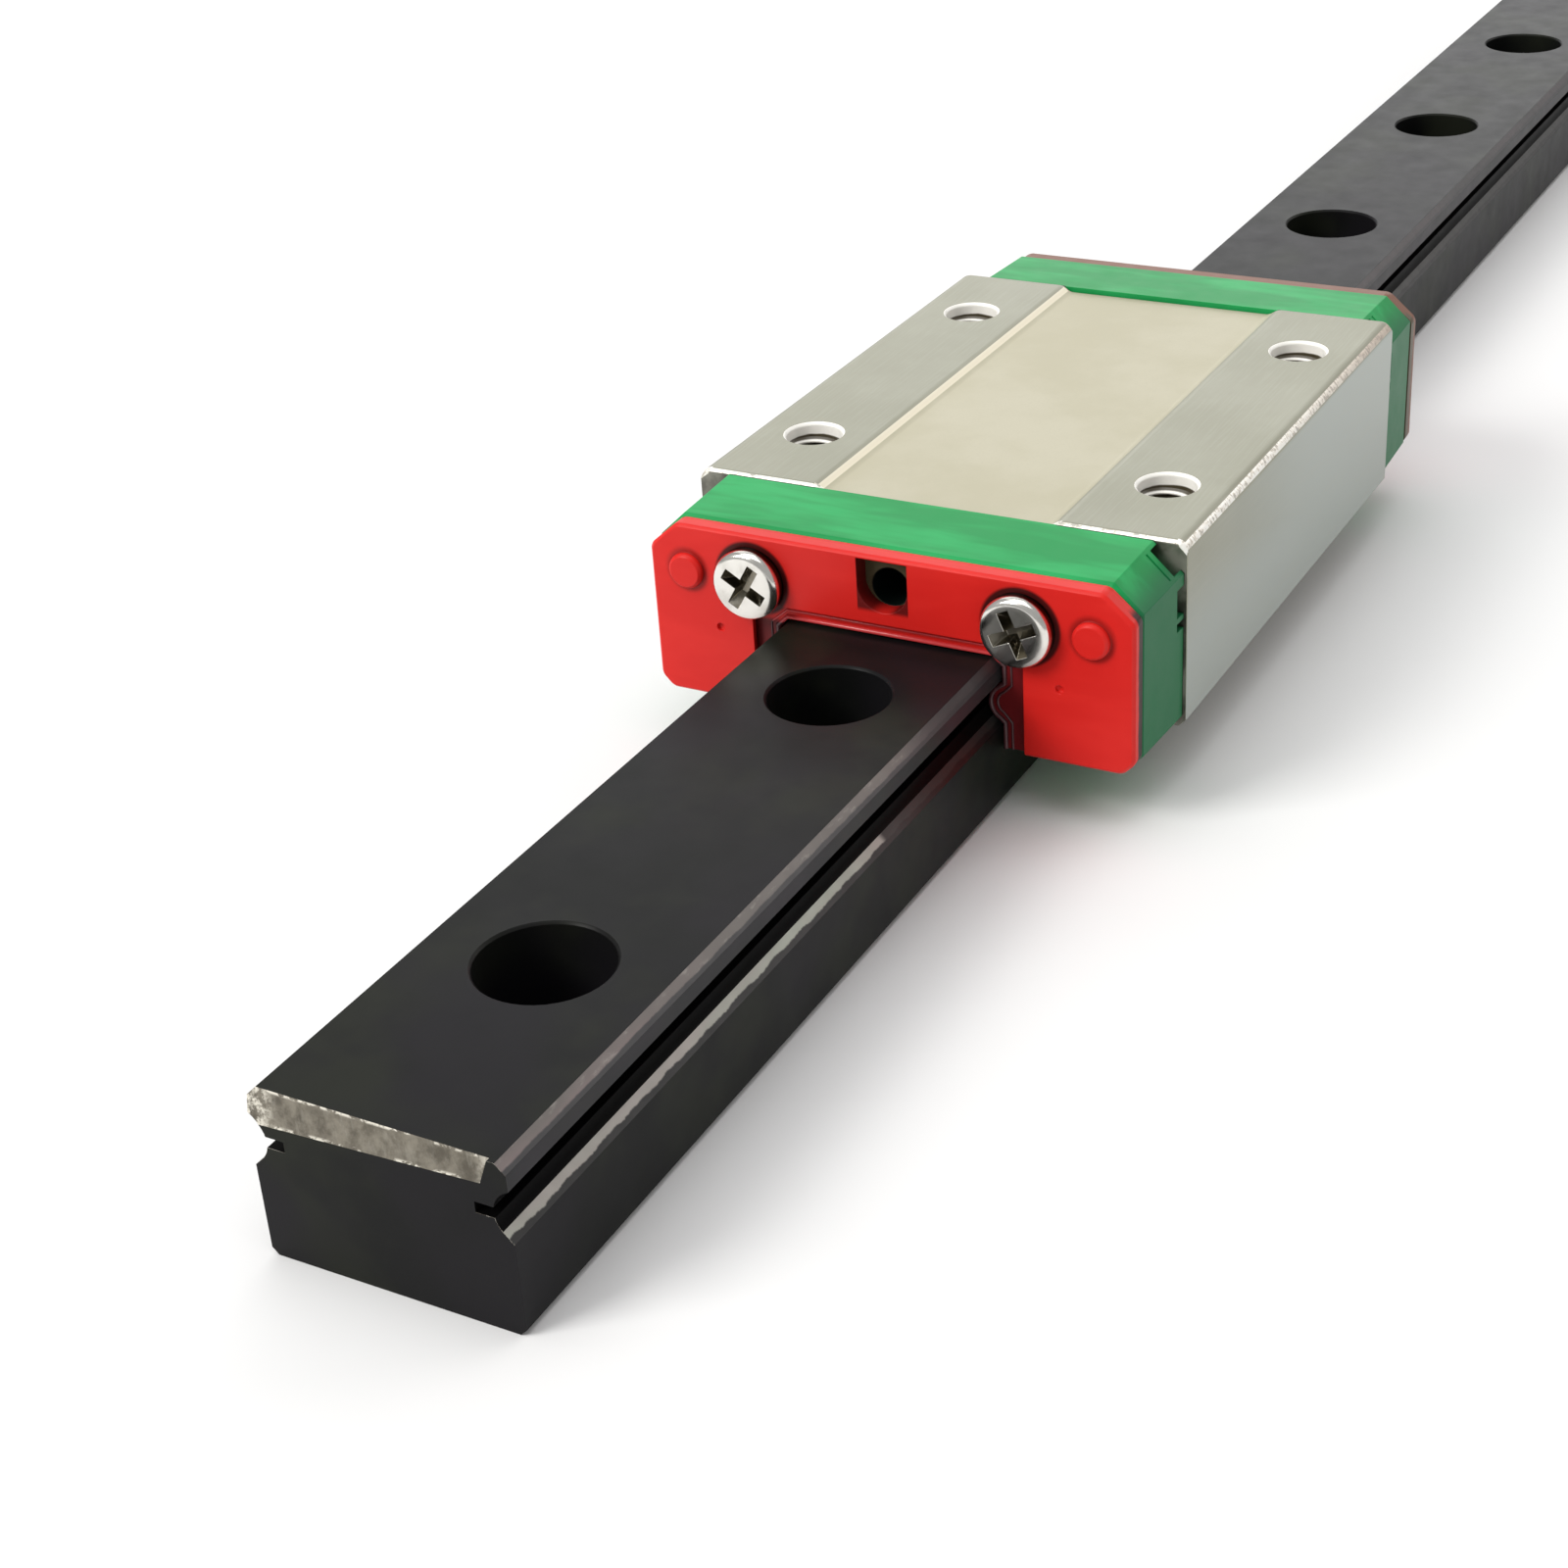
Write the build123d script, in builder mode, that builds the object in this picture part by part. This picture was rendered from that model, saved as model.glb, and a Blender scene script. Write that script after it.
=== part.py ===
"""A miniature linear guide: a grooved steel rail with a ball carriage that slides along it.

Millimetres. The rail lies along X with its base on Z = 0 and its middle at the origin.
Y is across the rail, and left is +Y when looking along +X. The front end is at -X.
"""

import math
import os

from build123d import *

# Rail
RAIL_LENGTH = 200.0
RAIL_WIDTH = 12.0
RAIL_HEIGHT = 8.0
RAIL_TOP_CHAMFER = 0.45
RAIL_BASE_CHAMFER = 0.3
RAIL_HALF = RAIL_WIDTH / 2

# Counterbored bolt holes through the rail, in a row that starts near its front end
HOLE_PITCH = 25.0
HOLE_END_DISTANCE = 12.0
HOLE_RADIUS = 1.75
COUNTERBORE_RADIUS = 3.0
COUNTERBORE_DEPTH = 4.5
COUNTERBORE_EDGE = 0.12
REAR_END_WALL = 2.0
HOLE_ROOM = RAIL_LENGTH - HOLE_END_DISTANCE - COUNTERBORE_RADIUS - REAR_END_WALL
HOLE_COUNT = 1 + int(HOLE_ROOM // HOLE_PITCH)
HOLE_ROW_MIDDLE_X = -RAIL_LENGTH / 2 + HOLE_END_DISTANCE + (HOLE_COUNT - 1) * HOLE_PITCH / 2

# Bare bevel ground by hand on the top edge of each rail end, deeper on one side
BEVEL_RUN = 0.3
BEVEL_DROP_DEEP = 1.6
BEVEL_DROP_SHALLOW = 1.15
BEVEL_STOP = 1.2
BEVEL_STOP_SLANT = 0.8

# Balls and the grooves that they run in
BALL_RADIUS = 2.381 / 2
BALL_GAP = 0.06
BALL_PITCH = 2 * BALL_RADIUS + BALL_GAP
GROOVE_RADIUS = 0.52 * 2 * BALL_RADIUS
BALL_Z = RAIL_HEIGHT - 2.35
BALL_Y = RAIL_HALF + 0.47
GROOVE_EDGE_CHAMFER = 0.35

# Carriage, whose middle stands at REST_X as in the photo
REST_X = -34.9
BLOCK_LENGTH = 32.4
BLOCK_WIDTH = 27.0
BLOCK_OVER_RAIL = 5.0
BLOCK_SKIRT = 5.0
BLOCK_EDGE_CHAMFER = 0.4
RAIL_CLEARANCE_Y = 0.45
RAIL_CLEARANCE_Z = 0.6
BLOCK_HALF = BLOCK_LENGTH / 2
BLOCK_SIDE = BLOCK_WIDTH / 2
BLOCK_TOP_Z = RAIL_HEIGHT + BLOCK_OVER_RAIL
BLOCK_BASE_Z = RAIL_HEIGHT - BLOCK_SKIRT
CHANNEL_HALF = RAIL_HALF + RAIL_CLEARANCE_Y
CHANNEL_TOP_Z = RAIL_HEIGHT + RAIL_CLEARANCE_Z
BALL_COUNT = int(BLOCK_LENGTH // BALL_PITCH)

# Unground band down the middle of the carriage top, with sloping sides
BAND_TOP_WIDTH = 13.4
BAND_BASE_WIDTH = 12.5
BAND_DEPTH = 0.35

# Tapped holes in the carriage top, cut to the thread's outer radius
TAP_SPACING_X = 20.0
TAP_SPACING_Y = 20.0
TAP_RADIUS = 1.5
TAP_DEPTH = 3.5
TAP_MOUTH_RADIUS = 1.65
TAP_MOUTH_DEPTH = 0.15

# Slot at the bottom of each rail groove, and the wire in it that keeps the balls in
SLOT_HEIGHT = 0.5
SLOT_BOTTOM_Y = RAIL_HALF - 1.6
WIRE_RADIUS = 0.2
WIRE_SIDES = 8
WIRE_Y = SLOT_BOTTOM_Y + 0.5
WIRE_BEND_RADIUS = 0.8
WIRE_IN_CAP = 2.5
WIRE_HOLE_DEPTH = 2.4
WIRE_HOLE_SPARE = 0.3
WIRE_CLEARANCE = 0.03

# End caps, which taper towards the seals as mouldings do
CAP_THICKNESS = 5.0
CAP_WIDTH = BLOCK_WIDTH - 0.4
CAP_TOP_Z = BLOCK_TOP_Z - 0.12
CAP_BASE_Z = BLOCK_BASE_Z + 0.05
CAP_DRAFT = 2.0
CAP_TOP_CHAMFER_Y = 1.6
CAP_TOP_CHAMFER_Z = 1.5
CAP_BASE_CHAMFER = 0.6
CAP_EDGE_CHAMFER = 0.2
CAP_CHANNEL_HALF = RAIL_HALF + 0.35
CAP_CHANNEL_TOP_Z = RAIL_HEIGHT + 0.35
CAP_OUTER_X = BLOCK_HALF + CAP_THICKNESS

# Pockets in each cap's corners beside the steel, and the fine line across each corner
CORNER_POCKET_LENGTH = 1.7
CORNER_POCKET_DEPTH = 0.9
POCKET_WIDTH = 0.85
SIDE_POCKET_DEPTH = 0.6
SIDE_POCKETS = ((2.1, 1.5), (3.9, 0.45))
CORNER_LINE_AT = 1.25
CORNER_LINE_SIZE = 0.14

# End seals
SEAL_THICKNESS = 1.0
SEAL_WIDTH = BLOCK_WIDTH - 0.7
SEAL_TOP_Z = BLOCK_TOP_Z - 0.4
SEAL_BASE_Z = BLOCK_BASE_Z + 0.15
SEAL_TOP_CHAMFER_Y = 1.6
SEAL_TOP_CHAMFER_Z = 1.4
SEAL_BASE_CHAMFER = 0.65
SEAL_EDGE_CHAMFER = 0.15
SEAL_OPENING_HALF = RAIL_HALF + 1.4
SEAL_OPENING_TOP_Z = RAIL_HEIGHT + 0.95
LIP_THICKNESS = 0.5
LIP_CLEARANCE = 0.08
SEAL_OUTER_X = CAP_OUTER_X + SEAL_THICKNESS

# Lubrication port in each cap, and the window in the seal that shows it
PORT_RADIUS = 1.0
PORT_Z = RAIL_HEIGHT + 2.6
PORT_DEPTH = 3.0
WINDOW_WIDTH = 2.7
WINDOW_CENTRE_Z = PORT_Z + 0.35
WINDOW_TOP_Z = PORT_Z + 1.75

# Cap screws
SCREW_Y = RAIL_HALF + 1.3
SCREW_Z = RAIL_HEIGHT + 2.15
SCREW_RADIUS = 0.9
SCREW_CLEARANCE = 0.05
SCREW_IN_STEEL = 4.0
SCREW_HOLE_SPARE = 0.3
HEAD_RADIUS = 1.85
HEAD_HEIGHT = 0.95
HEAD_CHAMFER_DOWN = 0.3
HEAD_CHAMFER_IN = 0.55
RECESS_LENGTH = 2.1
RECESS_WIDTH = 0.6
RECESS_DEPTH = 0.6
RECESS_TAPER = 10.0

# Moulded round boss and small dimple on each side of the seal's face
BOSS_Y = BLOCK_SIDE - 2.5
BOSS_RADIUS = 0.95
BOSS_HEIGHT = 0.4
BOSS_EDGE_CHAMFER = 0.15
DIMPLE_Y = BLOCK_SIDE - 4.2
DIMPLE_Z = RAIL_HEIGHT - 0.8
DIMPLE_RADIUS = 0.22
DIMPLE_DEPTH = 0.2


def save(builder, name):
    """Write one piece to its own file."""
    builder.part.label = name
    export_step(builder.part, f"parts/{name}.step")


def end_plane(side, distance):
    """The plane across the rail at this distance from the carriage's middle, facing its end.

    side is -1 for the front end and 1 for the rear. The plane's own x is side times Y, its y is Z.
    """
    origin = (REST_X + side * distance, 0, 0)
    return Plane(origin=origin, x_dir=(0, side, 0), z_dir=(side, 0, 0))


def groove_y(dz, radius):
    """Half-width at a height dz from the ball centre, on a groove of this radius."""
    return BALL_Y - math.sqrt(radius**2 - dz**2)


def groove_dz(y, radius):
    """Height from the ball centre at which a groove of this radius reaches the half-width y."""
    return math.sqrt(radius**2 - (BALL_Y - y) ** 2)


def rail_side():
    """One side of the rail's outline, from the base to the top: edges, groove and wire slot."""
    top_dz = groove_dz(RAIL_HALF, GROOVE_RADIUS)
    low_y = RAIL_HALF - GROOVE_EDGE_CHAMFER
    low_dz = groove_dz(low_y, GROOVE_RADIUS)
    slot_dz = SLOT_HEIGHT / 2
    slot_y = groove_y(slot_dz, GROOVE_RADIUS)
    mid_low = (low_dz + slot_dz) / 2
    mid_top = (top_dz + slot_dz) / 2
    Polyline(
        (0, 0),
        (RAIL_HALF - RAIL_BASE_CHAMFER, 0),
        (RAIL_HALF, RAIL_BASE_CHAMFER),
        (RAIL_HALF, BALL_Z - low_dz - GROOVE_EDGE_CHAMFER),
        (low_y, BALL_Z - low_dz),
    )
    ThreePointArc(
        (low_y, BALL_Z - low_dz),
        (groove_y(mid_low, GROOVE_RADIUS), BALL_Z - mid_low),
        (slot_y, BALL_Z - slot_dz),
    )
    Polyline(
        (slot_y, BALL_Z - slot_dz),
        (SLOT_BOTTOM_Y, BALL_Z - slot_dz),
        (SLOT_BOTTOM_Y, BALL_Z + slot_dz),
        (slot_y, BALL_Z + slot_dz),
    )
    ThreePointArc(
        (slot_y, BALL_Z + slot_dz),
        (groove_y(mid_top, GROOVE_RADIUS), BALL_Z + mid_top),
        (RAIL_HALF, BALL_Z + top_dz),
    )
    Polyline(
        (RAIL_HALF, BALL_Z + top_dz),
        (RAIL_HALF, RAIL_HEIGHT - RAIL_TOP_CHAMFER),
        (RAIL_HALF - RAIL_TOP_CHAMFER, RAIL_HEIGHT),
        (0, RAIL_HEIGHT),
    )


def bevel_plane(side):
    """The plane of the hand-ground bevel on one rail end, facing outwards.

    Its origin is where the bevel meets the end face on its deep side, and its x runs across the
    rail towards the shallow side.
    """
    end = side * RAIL_LENGTH / 2
    deep = Vector(end, -side * RAIL_HALF, RAIL_HEIGHT - BEVEL_DROP_DEEP)
    shallow = Vector(end, side * (RAIL_HALF - BEVEL_STOP), RAIL_HEIGHT - BEVEL_DROP_SHALLOW)
    up_the_slope = Vector(-side * BEVEL_RUN, 0, BEVEL_DROP_DEEP)
    across = shallow - deep
    return Plane(origin=deep, x_dir=across, z_dir=across.cross(up_the_slope))


def make_rail():
    """The rail: its drawn profile, the bolt holes and the bare end bevels."""
    with BuildPart() as rail:
        with BuildSketch(Plane.YZ.offset(-RAIL_LENGTH / 2)):
            with BuildLine():
                rail_side()
                mirror(about=Plane.YZ)
            make_face()
        extrude(amount=RAIL_LENGTH)
        with Locations((HOLE_ROW_MIDDLE_X, 0, RAIL_HEIGHT)):
            with GridLocations(HOLE_PITCH, 1, HOLE_COUNT, 1):
                CounterBoreHole(HOLE_RADIUS, COUNTERBORE_RADIUS, COUNTERBORE_DEPTH)
                Cone(
                    COUNTERBORE_RADIUS,
                    COUNTERBORE_RADIUS + COUNTERBORE_EDGE,
                    COUNTERBORE_EDGE,
                    align=(Align.CENTER, Align.CENTER, Align.MAX),
                    mode=Mode.SUBTRACT,
                )
        width = RAIL_WIDTH - BEVEL_STOP
        height = 1.2 * BEVEL_DROP_DEEP
        for side in (-1, 1):
            with BuildSketch(bevel_plane(side)):
                with BuildLine():
                    Polyline(
                        (-BEVEL_STOP, 0),
                        (width, 0),
                        (width + BEVEL_STOP_SLANT, height),
                        (-BEVEL_STOP, height),
                        close=True,
                    )
                make_face()
            extrude(amount=BEVEL_DROP_DEEP, mode=Mode.SUBTRACT)
    save(rail, "rail")


def band_outline():
    """The cross-section of the shallow band that the carriage top is not ground on."""
    base_z = BLOCK_TOP_Z - BAND_DEPTH
    Polyline(
        (-BAND_TOP_WIDTH / 2, BLOCK_TOP_Z),
        (-BAND_BASE_WIDTH / 2, base_z),
        (BAND_BASE_WIDTH / 2, base_z),
        (BAND_TOP_WIDTH / 2, BLOCK_TOP_Z),
        close=True,
    )


def make_block():
    """The steel saddle, with its ball grooves, top band, tapped holes and screw holes."""
    with BuildPart() as block:
        with BuildSketch(end_plane(1, -BLOCK_HALF)):
            with Locations((0, (BLOCK_TOP_Z + BLOCK_BASE_Z) / 2)):
                Rectangle(BLOCK_WIDTH, BLOCK_TOP_Z - BLOCK_BASE_Z)
            Rectangle(2 * CHANNEL_HALF, 2 * CHANNEL_TOP_Z, mode=Mode.SUBTRACT)
            with Locations((-BALL_Y, BALL_Z), (BALL_Y, BALL_Z)):
                Circle(GROOVE_RADIUS, mode=Mode.SUBTRACT)
            with BuildLine():
                band_outline()
            make_face(mode=Mode.SUBTRACT)
        extrude(amount=BLOCK_LENGTH)
        long_edges = block.edges().filter_by(Axis.X)
        chamfer(
            long_edges.group_by(Axis.Y)[0] + long_edges.group_by(Axis.Y)[-1],
            BLOCK_EDGE_CHAMFER,
        )
        with Locations((REST_X, 0, BLOCK_TOP_Z)):
            with GridLocations(TAP_SPACING_X, TAP_SPACING_Y, 2, 2):
                Hole(TAP_RADIUS, TAP_DEPTH)
                Cone(
                    TAP_RADIUS,
                    TAP_MOUTH_RADIUS,
                    TAP_MOUTH_DEPTH,
                    align=(Align.CENTER, Align.CENTER, Align.MAX),
                    mode=Mode.SUBTRACT,
                )
        for side in (-1, 1):
            with BuildSketch(end_plane(side, BLOCK_HALF)):
                with Locations((-SCREW_Y, SCREW_Z), (SCREW_Y, SCREW_Z)):
                    Circle(SCREW_RADIUS + SCREW_CLEARANCE)
            extrude(amount=-SCREW_IN_STEEL - SCREW_HOLE_SPARE, mode=Mode.SUBTRACT)
    save(block, "carriage_block")


def plate_outline(width, base, top, chamfer_y, chamfer_z, base_chamfer):
    """The outline that caps and seals share: a rectangle with cut corners."""
    half = width / 2
    Polyline(
        (half - base_chamfer, base),
        (half, base + base_chamfer),
        (half, top - chamfer_z),
        (half - chamfer_y, top),
        (-half + chamfer_y, top),
        (-half, top - chamfer_z),
        (-half, base + base_chamfer),
        (-half + base_chamfer, base),
        close=True,
    )


def make_cap(side, name):
    """A moulded end cap with its rail channel, screw holes, port, wire holes and pockets."""
    corner_y = (CAP_WIDTH - CAP_TOP_CHAMFER_Y) / 2
    corner_z = CAP_TOP_Z - CAP_TOP_CHAMFER_Z / 2
    corner_tilt = math.degrees(math.atan2(CAP_TOP_CHAMFER_Z, CAP_TOP_CHAMFER_Y))
    with BuildPart() as cap:
        with BuildSketch(end_plane(side, BLOCK_HALF)):
            with BuildLine():
                plate_outline(
                    CAP_WIDTH,
                    CAP_BASE_Z,
                    CAP_TOP_Z,
                    CAP_TOP_CHAMFER_Y,
                    CAP_TOP_CHAMFER_Z,
                    CAP_BASE_CHAMFER,
                )
            make_face()
        extrude(amount=CAP_THICKNESS, taper=CAP_DRAFT)
        front = cap.faces().sort_by(Axis.X)[0 if side < 0 else -1]
        chamfer(front.edges(), CAP_EDGE_CHAMFER)
        with BuildSketch(end_plane(side, BLOCK_HALF)):
            Rectangle(2 * CAP_CHANNEL_HALF, 2 * CAP_CHANNEL_TOP_Z)
            with Locations((-SCREW_Y, SCREW_Z), (SCREW_Y, SCREW_Z)):
                Circle(SCREW_RADIUS + SCREW_CLEARANCE)
        extrude(amount=CAP_THICKNESS, mode=Mode.SUBTRACT)
        with BuildSketch(end_plane(side, CAP_OUTER_X)):
            with Locations((0, PORT_Z)):
                Circle(PORT_RADIUS)
        extrude(amount=-PORT_DEPTH, mode=Mode.SUBTRACT)
        for hand in (-1, 1):
            with BuildSketch(end_plane(side, BLOCK_HALF)):
                with Locations(Location((hand * corner_y, corner_z), -hand * corner_tilt)):
                    Rectangle(CORNER_POCKET_LENGTH, 2 * CORNER_POCKET_DEPTH)
                for drop, height in SIDE_POCKETS:
                    with Locations((hand * CAP_WIDTH / 2, CAP_TOP_Z - drop - height / 2)):
                        Rectangle(2 * SIDE_POCKET_DEPTH, height)
            extrude(amount=POCKET_WIDTH, mode=Mode.SUBTRACT)
            with BuildSketch(end_plane(side, BLOCK_HALF + CORNER_LINE_AT)):
                with Locations(Location((hand * corner_y, corner_z), -hand * corner_tilt)):
                    Rectangle(CORNER_POCKET_LENGTH, 2 * CORNER_LINE_SIZE)
            extrude(amount=CORNER_LINE_SIZE, mode=Mode.SUBTRACT)
            with BuildSketch(Plane.XZ.offset(-hand * CAP_CHANNEL_HALF)):
                with Locations((REST_X + side * (BLOCK_HALF + WIRE_IN_CAP), BALL_Z)):
                    Circle(WIRE_RADIUS + WIRE_CLEARANCE)
            extrude(amount=-hand * WIRE_HOLE_DEPTH, mode=Mode.SUBTRACT)
    save(cap, name)


def lip_side():
    """One side of the rail's outline, grown by the lip's clearance and without the wire slot."""
    radius = GROOVE_RADIUS - LIP_CLEARANCE
    half = RAIL_HALF + LIP_CLEARANCE
    top_z = RAIL_HEIGHT + LIP_CLEARANCE
    dz = groove_dz(half, radius)
    Polyline((0, 0), (half, 0), (half, BALL_Z - dz))
    ThreePointArc((half, BALL_Z - dz), (BALL_Y - radius, BALL_Z), (half, BALL_Z + dz))
    Polyline(
        (half, BALL_Z + dz),
        (half, top_z - RAIL_TOP_CHAMFER),
        (half - RAIL_TOP_CHAMFER, top_z),
        (0, top_z),
    )


def make_seal(side, name):
    """A moulded end seal: a face plate with window, bosses and dimples, and a thin lip behind."""
    with BuildPart() as seal:
        with BuildSketch(end_plane(side, CAP_OUTER_X)):
            with BuildLine():
                plate_outline(
                    SEAL_WIDTH,
                    SEAL_BASE_Z,
                    SEAL_TOP_Z,
                    SEAL_TOP_CHAMFER_Y,
                    SEAL_TOP_CHAMFER_Z,
                    SEAL_BASE_CHAMFER,
                )
            make_face()
        extrude(amount=SEAL_THICKNESS)
        face = seal.faces().sort_by(Axis.X)[0 if side < 0 else -1]
        chamfer(face.edges(), SEAL_EDGE_CHAMFER)
        with BuildSketch(end_plane(side, CAP_OUTER_X)):
            with BuildLine():
                lip_side()
                mirror(about=Plane.YZ)
            make_face()
            with Locations((-SCREW_Y, SCREW_Z), (SCREW_Y, SCREW_Z)):
                Circle(SCREW_RADIUS + SCREW_CLEARANCE)
            with Locations((0, WINDOW_CENTRE_Z)):
                Circle(WINDOW_WIDTH / 2)
            with Locations((0, (WINDOW_CENTRE_Z + WINDOW_TOP_Z) / 2)):
                Rectangle(WINDOW_WIDTH, WINDOW_TOP_Z - WINDOW_CENTRE_Z)
        extrude(amount=SEAL_THICKNESS, mode=Mode.SUBTRACT)
        with BuildSketch(end_plane(side, CAP_OUTER_X + LIP_THICKNESS)):
            Rectangle(2 * SEAL_OPENING_HALF, 2 * SEAL_OPENING_TOP_Z)
        extrude(amount=SEAL_THICKNESS, mode=Mode.SUBTRACT)
        with BuildSketch(end_plane(side, SEAL_OUTER_X)):
            with Locations((-DIMPLE_Y, DIMPLE_Z), (DIMPLE_Y, DIMPLE_Z)):
                Circle(DIMPLE_RADIUS)
        extrude(amount=-DIMPLE_DEPTH, mode=Mode.SUBTRACT)
        with BuildSketch(end_plane(side, SEAL_OUTER_X)):
            with Locations((-BOSS_Y, SCREW_Z), (BOSS_Y, SCREW_Z)):
                Circle(BOSS_RADIUS)
        extrude(amount=BOSS_HEIGHT)
        tops = seal.faces().group_by(Axis.X)[0 if side < 0 else -1]
        chamfer(tops.edges(), BOSS_EDGE_CHAMFER)
    save(seal, name)


def make_screw(side, hand, name):
    """A cap screw: a plain shank, and a pan head with a tapering cross recess."""
    centre = (side * hand * SCREW_Y, SCREW_Z)
    with BuildPart() as screw:
        with BuildSketch(end_plane(side, SEAL_OUTER_X)):
            with Locations(centre):
                Circle(HEAD_RADIUS)
        extrude(amount=HEAD_HEIGHT)
        rim = screw.faces().sort_by(Axis.X)[0 if side < 0 else -1]
        chamfer(rim.edges(), HEAD_CHAMFER_DOWN, HEAD_CHAMFER_IN, reference=rim)
        with BuildSketch(end_plane(side, SEAL_OUTER_X)):
            with Locations(centre):
                Circle(SCREW_RADIUS)
        extrude(amount=-SEAL_THICKNESS - CAP_THICKNESS - SCREW_IN_STEEL)
        with BuildSketch(end_plane(side, SEAL_OUTER_X + HEAD_HEIGHT)):
            with Locations(centre):
                Rectangle(RECESS_LENGTH, RECESS_WIDTH)
                Rectangle(RECESS_WIDTH, RECESS_LENGTH)
        extrude(amount=-RECESS_DEPTH, taper=RECESS_TAPER, mode=Mode.SUBTRACT)
    save(screw, name)


def make_ball_row(hand, name):
    """The loaded balls of one side, hidden in their grooves, so each is a cube with cut edges."""
    facet = 2 * BALL_RADIUS / math.sqrt(5 + 2 * math.sqrt(2))
    width = facet * (1 + math.sqrt(2))
    with BuildPart() as ball:
        Box(width, width, width)
        chamfer(ball.edges(), (width - facet) / 2)
    with BuildPart() as row:
        with Locations((REST_X, hand * BALL_Y, BALL_Z)):
            with GridLocations(BALL_PITCH, 1, BALL_COUNT, 1):
                add(ball.part)
    save(row, name)


def make_wire(hand, name):
    """A retainer wire: straight along the rail slot, with both ends bent into the end caps.

    It is hidden, so its section has few sides.
    """
    end_x = BLOCK_HALF + WIRE_IN_CAP
    end_y = CAP_CHANNEL_HALF + WIRE_HOLE_DEPTH - WIRE_HOLE_SPARE
    with BuildPart() as wire:
        with BuildLine() as path:
            FilletPolyline(
                (REST_X - end_x, hand * end_y, BALL_Z),
                (REST_X - end_x, hand * WIRE_Y, BALL_Z),
                (REST_X + end_x, hand * WIRE_Y, BALL_Z),
                (REST_X + end_x, hand * end_y, BALL_Z),
                radius=WIRE_BEND_RADIUS,
            )
        with BuildSketch(Plane(origin=path.line @ 0, z_dir=path.line % 0)):
            RegularPolygon(WIRE_RADIUS, WIRE_SIDES)
        sweep()
    save(wire, name)


os.makedirs("parts", exist_ok=True)
make_rail()
make_block()
for side, end_name in ((-1, "front"), (1, "rear")):
    make_cap(side, f"end_cap_{end_name}")
    make_seal(side, f"end_seal_{end_name}")
    for hand, hand_name in ((1, "left"), (-1, "right")):
        make_screw(side, hand, f"cap_screw_{end_name}_{hand_name}")
for hand, hand_name in ((1, "left"), (-1, "right")):
    make_ball_row(hand, f"ball_row_{hand_name}")
    make_wire(hand, f"retainer_wire_{hand_name}")
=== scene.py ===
"""Looks of a miniature linear guide: a blackened steel rail and the ball carriage that rides on it.

Lengths are in metres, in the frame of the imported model: X along the rail, Y across it to the left,
Z up, with the base of the rail on Z = 0. Sizes are written in millimetres times MM. In a finish, a
reach is a distance along X from the carriage's middle, and a side is a distance from the middle plane.
"""

import logging
import math
from collections.abc import Callable, Iterable
from dataclasses import dataclass, field
from enum import Enum

import bmesh
import bpy
from mathutils import Matrix, Vector


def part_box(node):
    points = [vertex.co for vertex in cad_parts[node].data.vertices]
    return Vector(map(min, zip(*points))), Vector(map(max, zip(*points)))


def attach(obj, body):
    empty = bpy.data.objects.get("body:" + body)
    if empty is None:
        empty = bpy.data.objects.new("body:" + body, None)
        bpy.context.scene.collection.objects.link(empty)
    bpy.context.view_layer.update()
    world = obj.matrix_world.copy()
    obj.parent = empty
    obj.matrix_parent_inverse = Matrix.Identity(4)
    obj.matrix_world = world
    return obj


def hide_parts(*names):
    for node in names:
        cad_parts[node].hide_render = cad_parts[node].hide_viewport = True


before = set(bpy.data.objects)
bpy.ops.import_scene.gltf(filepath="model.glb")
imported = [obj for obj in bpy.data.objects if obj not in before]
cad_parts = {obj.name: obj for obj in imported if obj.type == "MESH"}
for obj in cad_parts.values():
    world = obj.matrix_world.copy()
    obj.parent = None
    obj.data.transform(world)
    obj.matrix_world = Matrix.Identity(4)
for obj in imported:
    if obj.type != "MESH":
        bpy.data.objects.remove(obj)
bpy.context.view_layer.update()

Colour = tuple[float, float, float]
Point = tuple[float, float, float]
Socket = bpy.types.NodeSocket
Material = bpy.types.Material
Piece = bpy.types.Object
Facet = bpy.types.MeshPolygon
Shape = bmesh.types.BMesh
Edge = bmesh.types.BMEdge

MM = 0.001
CARRIAGE_MIDDLE_X = -34.9 * MM
MERGE_DISTANCE = 0.002 * MM
FINE_MERGE_DISTANCE = 0.001 * MM
NEAR = 0.01 * MM
FLAT_WITHIN_DEGREES = 0.6
CORNER_DEGREES = 20.0
CORNER_STEPS = 4
EDGE_DEGREES = 26.0
EDGE_STEPS = 2
log = logging.getLogger("linear_guide")


class Place(Enum):
    """A named place, with the sign of its outward direction."""

    @property
    def word(self) -> str:
        """The place's name as the nodes spell it."""
        return self.name.lower()


class Side(Place):
    """An end of the carriage, with its sign along X."""

    FRONT = -1
    REAR = 1


class Hand(Place):
    """A side of the rail, with its sign along Y."""

    LEFT = 1
    RIGHT = -1


class Slot(Enum):
    """The material slots."""

    BLACK_STEEL = "black_steel"
    GROUND_STEEL = "ground_steel"
    GREEN_PLASTIC = "green_plastic"
    RED_PLASTIC = "red_plastic"
    SCREW_STEEL = "screw_steel"
    BALL_STEEL = "ball_steel"


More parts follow.
